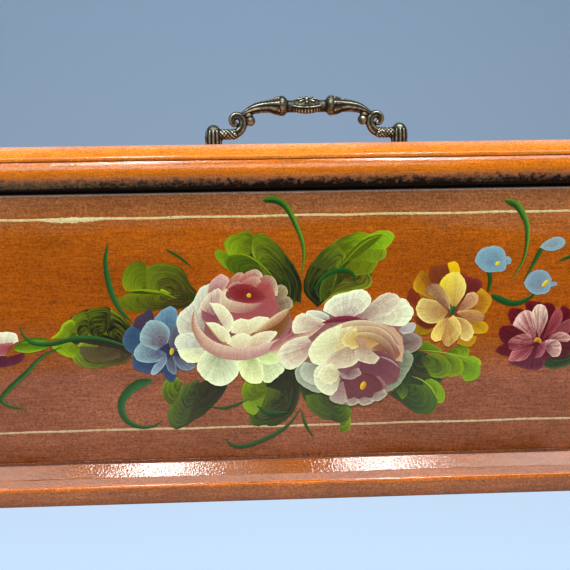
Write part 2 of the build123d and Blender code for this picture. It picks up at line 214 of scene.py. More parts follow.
# Up the walls the bands are the amber stain with painted light in it: dark at the foot for painted shade
# just above the moulding, and a pale, greyed pink low down and at the top for a painted sheen of reflections
# in the varnish.
wall_bands = [
    (0.0, "#4a200a"), (0.112, "#5c3016"), (0.14, "#80503c"), (0.20, "#8e5e4a"), (0.38, "#925f4c"),
    (0.48, "#9a5628"), (0.56, "#a45008"), (0.74, "#a24e06"), (0.86, "#ac5810"), (0.91, "#ac6a3a"),
    (1.0, "#b4764c"),
]
for grain, run, boards in ((0, "front", ("front_panel", "back_panel")),
                           (1, "end", ("left_side", "right_side"))):
    # The walls' top corners get a painted highlight
    finish = varnished_wood(f"varnished softwood, grain along the {run}", grain, wall_bands,
                            0, body_height, inside=(half_width, half_depth), corner_highlight=True)
    for node in boards:
        coat(node, finish)


# Bottom panel: 4 mm plywood in a groove round the walls, left bare, so its rotary-cut face shows
# a wide wavy figure.

def bare_wood(name, grain, pale, dark, figure):
    """Unfinished wood: a matt, dry surface with a figure that repeats every so many mm."""
    made, tree = new_material(name)
    place = add(tree, "ShaderNodeTexCoord").outputs["Object"]
    figured = grain_noise(tree, place, figure * 6, figure, grain, Detail=2.0, Distortion=1.2)
    fibre = grain_noise(tree, place, 12, 0.6, grain, Detail=2.0)
    share = spread(tree, reckon(tree, "ADD", figured, fibre), 0.75, 1.25)
    tint = add(tree, "ShaderNodeValToRGB", {"Fac": share}, ramp=[(0.0, dark), (1.0, pale)])
    return surfaced(made, {
        "Base Color": tint, "Roughness": 0.78, "IOR": 1.5, "Normal": bumps(tree, fibre, 0.3, 0.1)})


coat("bottom_panel", bare_wood("birch plywood, rotary cut, bare", 0, "#d3b283", "#b98f5c", 9))


# Base moulding: four lengths of softwood, run to a chamfered section, mitred, glued and nailed
# round the foot of the walls. Thick varnish has rounded their corners.

# Up the moulding the bands hold painted light: a bright orange band along the nose, painted where it faces
# the light, and dark at the top, painted shade where the moulding meets the wall.
moulding_bands = [
    (0.0, "#7a4220"), (0.20, "#a05f38"), (0.38, "#a86030"), (0.42, "#d87004"), (0.48, "#cc6404"),
    (0.52, "#8e5230"), (0.64, "#8c5024"), (0.88, "#904c12"), (0.92, "#643008"), (1.0, "#301404"),
]
moulding_out, moulding_height = 9.0, 15.4
moulding_section = [
    (0, 0, 0), (moulding_out, 0, 0.3), (moulding_out, 7.0, 0.9), (5.4, 9.75, 0.3), (0.9, 14.2, 0.3),
    (0.9, moulding_height, 0.25), (0, moulding_height, 0),
]


def eased(corners, steps=5, beyond=0.2):
    """A closed outline with its corners rounded: corners are (x, y, length cut from each side).

    A point just beyond each cut keeps the shading of the flat between two corners flat."""
    points = []
    for i, (x, y, cut) in enumerate(corners):
        here = np.array((x, y), float)
        if cut == 0:
            points.append(tuple(here))
            continue
        ways = []
        for other in (corners[i - 1], corners[(i + 1) % len(corners)]):
            way = np.array(other[:2], float) - here
            ways.append(way / np.linalg.norm(way))
        first, last = (here + way * cut for way in ways)
        points.append(tuple(here + ways[0] * (cut + beyond)))
        for t in np.linspace(0, 1, steps):
            points.append(tuple(first * (1 - t) ** 2 + 2 * here * t * (1 - t) + last * t ** 2))
        points.append(tuple(here + ways[1] * (cut + beyond)))
    return points


def in_scene(name, data):
    """A new object, linked into the scene."""
    made = bpy.data.objects.new(name, data)
    bpy.context.scene.collection.objects.link(made)
    return made


def mesh_piece(name, points, faces, body, replaced, finishes, face_finish=None, crease=32):
    """A closed mesh in mm, shaded smooth but for its creases, on its CAD body."""
    mesh = bpy.data.meshes.new(name)
    mesh.from_pydata([tuple(float(c) * MM for c in p) for p in points], [], faces)
    for finish in finishes:
        mesh.materials.append(finish)
    if face_finish is not None:
        mesh.polygons.foreach_set("material_index", face_finish)
    mesh.polygons.foreach_set("use_smooth", [True] * len(mesh.polygons))
    mesh.set_sharp_from_angle(angle=math.radians(crease))
    mesh.validate()
    piece = in_scene(name, mesh)
    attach(piece, body)
    if replaced:
        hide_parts(*replaced)
    return piece


def closed_faces(rows, ring, first=0):
    """The faces of a closed skin over rows of points, so many in a ring, with a cap at each end."""
    faces = []
    for i in range(rows - 1):
        for j in range(ring):
            a, b = first + i * ring + j, first + i * ring + (j + 1) % ring
            faces.append((a, b, b + ring, a + ring))
    faces.append(tuple(reversed(range(first, first + ring))))
    faces.append(tuple(range(first + (rows - 1) * ring, first + rows * ring)))
    return faces


def bar_mesh(section, wall_face, half_run, quarter, mitres, base=0.0, steps=90, waver=0.10):
    """A section run along a wall and mitred at its ends. quarter turns it round the box.

    The hand-planed face wavers inwards by up to a tenth of a millimetre."""
    knots = np.random.default_rng(11 + quarter).random(14)
    turn = math.radians(90 * quarter)
    cos, sin = round(math.cos(turn)), round(math.sin(turn))
    points = []
    for i in range(steps + 1):
        s = -1 + 2 * i / steps
        sway = np.interp((s + 1) / 2 * (len(knots) - 1), range(len(knots)), knots)
        for out, high in section:
            out -= waver * sway * (out > 0.5)
            x = s * (half_run + (out if (-1 if s < 0 else 1) in mitres else 0))
            y = -(wall_face + out)
            points.append((x * cos - y * sin, x * sin + y * cos, base + high))
    return points, closed_faces(steps + 1, len(section))


for quarter, side in enumerate(("front", "right", "back", "left")):
    wall_face, half_run = (half_depth, half_width) if quarter % 2 == 0 else (half_width, half_depth)
    finish = varnished_wood(f"varnished softwood moulding, {side}", quarter % 2, moulding_bands,
                            0, moulding_height, sway=0.35, gloss=0.85, peel=0.5, amber="#8e4604")
    points, faces = bar_mesh(eased(moulding_section), wall_face, half_run, quarter, (-1, 1))
    mesh_piece(f"moulding_{side}", points, faces, "box",
               [f"base_moulding_{side}"], [finish], crease=50)


# Lid rails: a half-round length along the front and one down each side, mitred at the front
# corners, with a plain rail between them at the back. Their undersides are relieved for a shadow gap.

lid_overhang, rail_thickness, rail_width = 6.0, 12.5, 20.0
belly_height, shadow_gap, rebate = 7.0, 1.4, 4.0
upper_setback, lower_setback = 2.0, 3.4
rail_top = body_height + rail_thickness
lid_half_width = half_width + lid_overhang
lid_front = -half_depth - lid_overhang
# Up a rail the bands darken towards the bottom, painted shade where the rail turns under and darkest in the
# shadow gap, and again at the very top, painted shade in the seam under the lid board.
rail_bands = [
    (0.0, "#3a291b"), (0.28, "#6e3e0a"), (0.44, "#a05404"), (0.60, "#c06604"), (0.78, "#cc6e0a"),
    (0.97, "#b85e0c"), (1.0, "#74380c"),
]


def half_round(rise, setback, steps=9):
    """The arc from the belly to an edge that lies rise above it (or below) and set back."""
    radius = (rise ** 2 + setback ** 2) / (2 * setback)
    turn = np.linspace(0, math.asin(rise / radius), steps)
    return [(lid_overhang - radius * (1 - math.cos(t)), belly_height + radius * math.sin(t)) for t in turn]


def rail_section():
    """Flat inside, half round outside: (distance out from the wall, height above the joint)."""
    lower = half_round(shadow_gap - belly_height, lower_setback)
    upper = half_round(rail_thickness - belly_height, upper_setback)
    inner = lid_overhang - rail_width
    return [(inner, 0), (-rebate, 0), (-rebate, shadow_gap), *reversed(lower), *upper[1:],
            (inner, rail_thickness)]


def dirt_and_painted_shade(tree, base, place, axes, low, high):
    """Old dirt and painted shade under the overhang: an olive-grey film, ragged above, with black spots in
    clusters.

    The black thickens to the right, and along the bottom, where it is painted shade in the shadow gap.
    Returns the colour and the film's cover."""
    level = spread(tree, axes["Z"], low * MM, high * MM)
    film = even_noise(tree, place, 2.2, 6.0, 0.75)
    cover = spread(tree, reckon(tree, "SUBTRACT", film, level), 0.05, 0.24, 0.0, 0.96)
    black = even_noise(tree, place, 70, 1.0)
    # Along the bottom the black is painted shade, in the shadow gap under the rail
    for more in (spread(tree, axes["X"], -110 * MM, -30 * MM, -0.24, 0.24),
                 spread(tree, level, 0.10, 0.20, 0.5, 0.0), even_noise(tree, place, 1.3, 4.0, 0.8)):
        black = reckon(tree, "ADD", black, more)
    # The film's tones run from olive-grey dirt to black, which along the bottom is painted shade
    dirt = add(tree, "ShaderNodeValToRGB", {"Fac": spread(tree, black, 0.90, 1.16)}, ramp=[
        (0.0, "#5c4c30"), (0.34, "#473d28"), (0.60, "#2a2118"), (1.0, "#080605")])
    return laid_over(tree, cover, base, dirt), cover


def rail_finish(side, grain, dirt_and_shade=None):
    """A rail's varnish, with dirt and painted shade or without. The faces that look into the box are bare.
    """
    # The bare faces start half a millimetre inside the rebate
    bare_within = (half_width - rebate - 0.5, half_depth - rebate - 0.5)
    return varnished_wood(f"varnished softwood rail, {side}", grain, rail_bands, body_height, rail_top,
                          sway=0.5, gloss=0.85, peel=0.8, amber="#bc6002", inside=bare_within, dirt_and_shade=dirt_and_shade)


for quarter, side, mitres in ((0, "front", (-1, 1)), (1, "right", (-1,)), (3, "left", (1,))):
    wall_face, half_run = (half_depth, half_width) if quarter == 0 else (half_width, half_depth)
    points, faces = bar_mesh(rail_section(), wall_face, half_run, quarter, mitres, body_height)
    mesh_piece(f"rail_{side}", points, faces, "lid", [f"lid_rail_{side}"],
               [rail_finish(side, quarter % 2, dirt_and_painted_shade)], crease=50)
coat("lid_rail_back", rail_finish("back", 0))


# Lid panel: a 6 mm softwood board, glued and nailed over the rails. Its front and side edges are
# rounded over with a plane, and its underside is left bare.

board_thickness, panel_setback = 6.0, 1.6
lid_top = rail_top + board_thickness
# Up the board's edge the bands hold painted light: dark at the foot, painted shade in the seam over the
# rail, and peach towards the top, a painted reflection of the pale room where the edge turns away.
lid_bands = [
    (0.0, "#8c4408"), (0.06, "#d07010"), (0.30, "#dc780a"), (0.62, "#dc8838"), (0.85, "#dc9c74"),
    (1.0, "#dca488"),
]


def board_mesh(left, right, front, back, edge, side_steps=12, front_steps=60):
    """A board with the same edge on three sides and a square back. edge is (inset, height)."""
    points, faces = [], []
    for inset, high in edge:
        x0, x1, y0 = left + inset, right - inset, front + inset
        side = [(x0, back + (y0 - back) * t) for t in np.linspace(0, 1, side_steps + 1)[:-1]]
        nose = [(x0 + (x1 - x0) * t, y0) for t in np.linspace(0, 1, front_steps + 1)[:-1]]
        other = [(x1, y0 + (back - y0) * t) for t in np.linspace(0, 1, side_steps + 1)]
        points += [(x, y, high) for x, y in side + nose + other]
    ring = 2 * side_steps + front_steps + 1
    for i in range(len(edge) - 1):
        for j in range(ring - 1):
            a = i * ring + j
            faces.append((a, a + 1, a + 1 + ring, a + ring))
    last = (len(edge) - 1) * ring
    faces.append(tuple(range(last, last + ring)))
    faces.append(tuple(reversed(range(ring))))
    up_left = [i * ring for i in range(len(edge))]
    down_right = [i * ring + ring - 1 for i in reversed(range(len(edge)))]
    faces.append(tuple(up_left + down_right))
    return points, faces


planed_edge = eased([(9.0, 0, 0), (0, 0, 0.2), (0, 1.3, 0.55), (2.6, 3.8, 1.4),
                     (6.0, board_thickness, 1.9), (9.0, board_thickness, 0)], steps=6)
lid_side = lid_half_width - panel_setback
points, faces = board_mesh(-lid_side, lid_side, lid_front + panel_setback, half_depth,
                           [(inset, rail_top + high) for inset, high in planed_edge[1:-1]])
lid_finish = varnished_wood("varnished softwood lid board", 0, lid_bands, rail_top, lid_top,
                            sway=0.5, gloss=0.85, peel=0.33, amber="#d87008")
lid_under = bare_wood("softwood lid board, underside, bare", 0, "#c9a173", "#b08653", 14)
under = [0] * len(faces)
under[-2] = 1
mesh_piece("lid_board", points, faces, "lid", ["lid_panel"],
           [lid_finish, lid_under], under, crease=40)


# Gold lines: two hand-ruled lines of pale gold paint along the front, joined near its ends. They swell
# and thin as the brush ran, with a blot where it was set down.

# Across a stroke a skin has so many points; it lies a step above the last, domed, with a ridge of
# paint at one edge, and is rooted in the wood. All in mm.
COLUMNS = 13
ACROSS = np.sin(np.linspace(-1, 1, COLUMNS) * math.pi / 2)
CROWN, STEP, RIDGE, ROOT = 0.002, 0.004, 0.004, 0.05


class PaintLayer:
    """Brush strokes on the front panel, in mm, gathered into one piece.

    Each stroke is a thin closed skin of paint. It keeps two colours, one that loaded each side of
    the brush, how far each point leans to the pale one, and its place along and across the stroke.
    lift is how far off the wood the first one lies. fanned is for a layer whose paint fans in its
    petals and so has to run along its strokes."""

    def __init__(self, lift=0.02, seed=1, fanned=False):
        self.lift = lift
        self.fanned = fanned
        self.rng = np.random.default_rng(seed)
        self.points, self.faces = [], []
        self.deep, self.pale, self.load, self.brush = [], [], [], []

    def stroke(self, spine, width, deep, pale, shape="lens", load="edge", rows=18, ragged=0.03):
        """Drags the brush along a spine of points."""
        path = brush_path(spine, rows)
        run = np.gradient(path, axis=0)
        run /= np.linalg.norm(run, axis=1)[:, None] + 1e-9
        aside = np.stack([-run[:, 1], run[:, 0]], axis=1)
        half = width / 2 * np.array([STROKE_SHAPES[shape](u) for u in np.linspace(0, 1, len(path))])
        half = half * self.waver(path, ragged) + 0.01
        grid = path[:, None] + aside[:, None] * (half[:, None] * ACROSS)[:, :, None]
        self.skin(grid, line_length(path), max(width / 2, 0.8), deep, pale, load, self.fanned)

    def petal(self, heel, rim, deep, pale, load="rim", ragged=0.018):
        """Turns the brush about its heel, so its loaded tip draws the rim and its hairs draw arcs."""
        path = brush_path(np.array(rim, float).reshape(-1, 2), 26)
        spokes = path - heel
        reach = np.linalg.norm(spokes, axis=1).mean()
        spokes = spokes * self.waver(path, ragged)[:, None]
        # The hairs reach from just beside the heel to the rim
        grid = heel + spokes[:, None] * (0.52 + 0.48 * ACROSS)[None, :, None]
        self.skin(grid, line_length(path), reach / 2, deep, pale, load)

    def waver(self, path, ragged):
        """How an edge swells and thins along a path, with a knot every 0.8 mm or so."""
        knots = max(8, int(line_length(path) / 0.8))
        place = np.linspace(0, 1, len(path)) * (knots - 1)
        return 1 + ragged * np.interp(place, range(knots), self.rng.uniform(-1, 1, knots))

    def skin(self, grid, length, half, deep, pale, load, swapped=False):
        """Closes a grid of points into a skin and notes what the brush left at each.

        swapped turns the hairs' way round, so that paint that fans in a petal runs along a stroke."""
        deep_ends, pale_ends = (
            [colour(c) for c in (tone if isinstance(tone, tuple) else (tone, tone))]
            for tone in (deep, pale))
        seed = self.rng.uniform(0, 400)
        first = len(self.points)
        for i, row in enumerate(grid):
            u = i / (len(grid) - 1)
            for k, j in enumerate((*range(COLUMNS), COLUMNS - 1, 0)):
                v = ACROSS[j]
                out = self.lift + CROWN * (1 - v * v) + RIDGE * max(0, v) ** 12
                if k >= COLUMNS:
                    out = -ROOT
                self.points.append((row[j][0], -half_depth - out, row[j][1]))
                self.deep.append([a + (b - a) * u for a, b in zip(*deep_ends)])
                self.pale.append([a + (b - a) * u for a, b in zip(*pale_ends)])
                self.load.append(BRUSH_LOADS[load](u, (v + 1) / 2))
                way = (v * half, u * length) if swapped else (u * length, v * half)
                self.brush.append((*way, seed))
        self.faces += closed_faces(len(grid), COLUMNS + 2, first)
        self.lift += STEP

    def paint(self, petals):
        """Lays petals in turn: (heel, rim as x, z, x, z …, deep, pale, load)."""
        for petal in petals:
            self.petal(*petal)

    def dry(self, name, finish):
        """Makes the layer's strokes one piece on the box, with the paint facing out."""
        faces = [tuple(reversed(face)) for face in self.faces]
        piece = mesh_piece(name, self.points, faces, "box", [], [finish], crease=35)
        for label, kind, values, field in (
                ("deep", "FLOAT_COLOR", self.deep, "color"), ("pale", "FLOAT_COLOR", self.pale, "color"),
                ("load", "FLOAT", self.load, "value"), ("brush", "FLOAT_VECTOR", self.brush, "vector")):
            kept = piece.data.attributes.new(label, kind, "POINT")
            kept.data.foreach_set(field, np.array(values, np.float32).ravel())


def line_length(path):
    return np.linalg.norm(np.diff(path, axis=0), axis=1).sum()


def brush_path(spine, rows):
    """A smooth line through the spine's points, straight if it has only two."""
    spine = np.array(spine, float)
    if len(spine) == 2:
        return spine[0] + (spine[1] - spine[0]) * np.linspace(0, 1, rows)[:, None]
    padded = np.vstack([2 * spine[0] - spine[1], spine, 2 * spine[-1] - spine[-2]])
    path = []
    spans = len(spine) - 1
    each = max(4, rows // spans)
    for k in range(spans):
        a, b, c, d = padded[k:k + 4]
        for t in np.linspace(0, 1, each, endpoint=False):
            path.append(0.5 * (2 * b + (c - a) * t + (2 * a - 5 * b + 4 * c - d) * t ** 2
                               + (3 * b - a - 3 * c + d) * t ** 3))
    path.append(spine[-1])
    return np.array(path)


def round_end(u):
    return math.sqrt(max(0.0, 1 - u * u))


STROKE_SHAPES = {
    "oval": lambda u: round_end(2 * u - 1),
    "lens": lambda u: math.sin(math.pi * min(1, max(0, u))) ** 0.75,
    "comma": lambda u: round_end(1 - u / 0.16) if u < 0.16 else (1 - (u - 0.16) / 0.84) ** 0.8,
    "line": lambda u: 1.0,
}
# How pale the brush paints at u along its stroke and r across it: edge is loaded on one side, rim is
# pale at the tip of the hairs, full almost throughout, early, late and crescent where a turn starts
# or ends
BRUSH_LOADS = {
    "edge": lambda u, r: r ** 1.6,
    "even": lambda u, r: 0.5,
    "rim": lambda u, r: 0.04 + 0.56 * r ** 1.5 + 0.4 * r ** 12,
    "full": lambda u, r: 0.08 + 0.74 * r + 0.18 * r ** 12,
    "thin": lambda u, r: 0.06 + 0.22 * r + 0.72 * r ** 22,
    "early": lambda u, r: (1 - u) ** 1.7 * (0.35 + 0.45 * r + 0.2 * r ** 10) + 0.06 * r,
    "late": lambda u, r: u ** 1.7 * (0.35 + 0.45 * r + 0.2 * r ** 10) + 0.06 * r,
    "crescent": lambda u, r: (1 - u) ** 1.4 * (0.05 + 0.15 * r + 0.8 * r ** 5),
}


def brush_paint(name, streaks, fan=0.0, overlay_share=0.0):
    """Oil paint laid with a double-loaded brush: two colours that part in fine bristle streaks.

    fan is how much they part from heel to rim too, where the brush was pulled in at the end of its
    turn, and overlay_share how much paint has rubbed off in specks, down to the stained wood."""
    made, tree = new_material(name)
    deep, pale = (add(tree, "ShaderNodeAttribute", attribute_name=label) for label in ("deep", "pale"))
    lean = add(tree, "ShaderNodeAttribute", attribute_name="load").outputs["Fac"]
    brush = add(tree, "ShaderNodeAttribute", attribute_name="brush").outputs["Vector"]
    # Bristle marks are about 0.4 mm apart and run the length of the stroke, over broader ones
    for scale, strength in (
            ((0.09, 2.4, 1.0), streaks), ((0.06, 0.7, 1.0), streaks * 0.8), ((0.5, 0.05, 1.0), fan * 0.7),
            ((1.5, 0.10, 1.0), fan)):
        if not strength:
            continue
        drawn = add(tree, "ShaderNodeMapping", {"Vector": brush, "Scale": scale})
        bristle = add(tree, "ShaderNodeTexNoise", {
            "Vector": drawn, "Scale": 1.0, "Detail": 2.0, "Roughness": 0.6})
        parted = spread(tree, bristle, 0.3, 0.7, -strength, strength)
        lean = reckon(tree, "ADD", lean, parted, use_clamp=True)
    place = add(tree, "ShaderNodeTexCoord").outputs["Object"]
    fleck = even_noise(tree, place, 0.7, 2.0, 0.7)
    aged_with_sheen = shaded(tree, laid_over(tree, lean, deep, pale), spread(tree, fleck, 0.34, 0.66, 0.98, 1.20))
    # A painted sheen, as pale as the one on the wood, greys the lower part: a painted reflection in the
    # varnish
    height = add(tree, "ShaderNodeSeparateXYZ", {"Vector": place}).outputs["Z"]
    painted_sheen = spread(tree, height, 36 * MM, 68 * MM, 1.0, 0.1)
    aged_with_sheen = laid_over(tree, painted_sheen, aged_with_sheen, colour("#28261f"), blend_type="SCREEN")
    if overlay_share:
        aged_with_sheen = laid_over(tree, spread(tree, fleck, 0.56, 0.66, 0.0, overlay_share), aged_with_sheen, colour("#8a5428"))
    return surfaced(made, {
        "Base Color": aged_with_sheen, "Roughness": 0.45, "IOR": 1.48, "Specular IOR Level": 0.05,
        "Normal": bumps(tree, bristle, 0.4, 0.08)})


line_paint = brush_paint("pale gold paint, ruled by hand", 0.35, overlay_share=0.7)

upper_line, lower_line, line_end = 112.8, 27.8, 156.0
gold, dull_gold = "#d4b46e", "#bc9c6c"


def ruled(layer, start, end, width, deep, pale, seed, count=26):
    """A long line that a hand has ruled: it sways a little and swells and thins."""
    way = np.array(end) - np.array(start)
    line = np.array(start) + np.linspace(0, 1, count)[:, None] * way
    way /= np.linalg.norm(way)
    line += np.outer(np.random.default_rng(seed).uniform(-0.16, 0.16, count), (-way[1], way[0]))
    layer.stroke(line, width, deep, pale, shape="line", rows=18 * count, ragged=0.3)


gold_lines = PaintLayer(lift=0.015, seed=3)
for start, end, width, deep, pale, seed in (
        ((-line_end, upper_line), (line_end, upper_line), 0.85, gold, "#e6d69c", 21),
        ((-line_end, lower_line), (line_end, lower_line), 0.8, dull_gold, "#d0b68c", 22),
        ((-line_end, lower_line), (-line_end, upper_line), 0.75, dull_gold, "#cdb87c", 23),
        ((line_end, lower_line), (line_end, upper_line), 0.75, dull_gold, "#cdb87c", 24)):
    ruled(gold_lines, start, end, width, deep, pale, seed)
gold_lines.stroke([(-114, upper_line - 0.2), (-100, upper_line - 0.4), (-86, upper_line)], 2.0,
                  gold, "#eadca6", rows=50, ragged=0.4)
gold_lines.dry("gold_lines", line_paint)


# Painted leaves: one or two rows of lobes on each side of a midrib, each lobe a turn of a brush that
# holds yellow-green and near-black. Lobes are (heel, rim, dark, light, load) in mm on the panel.

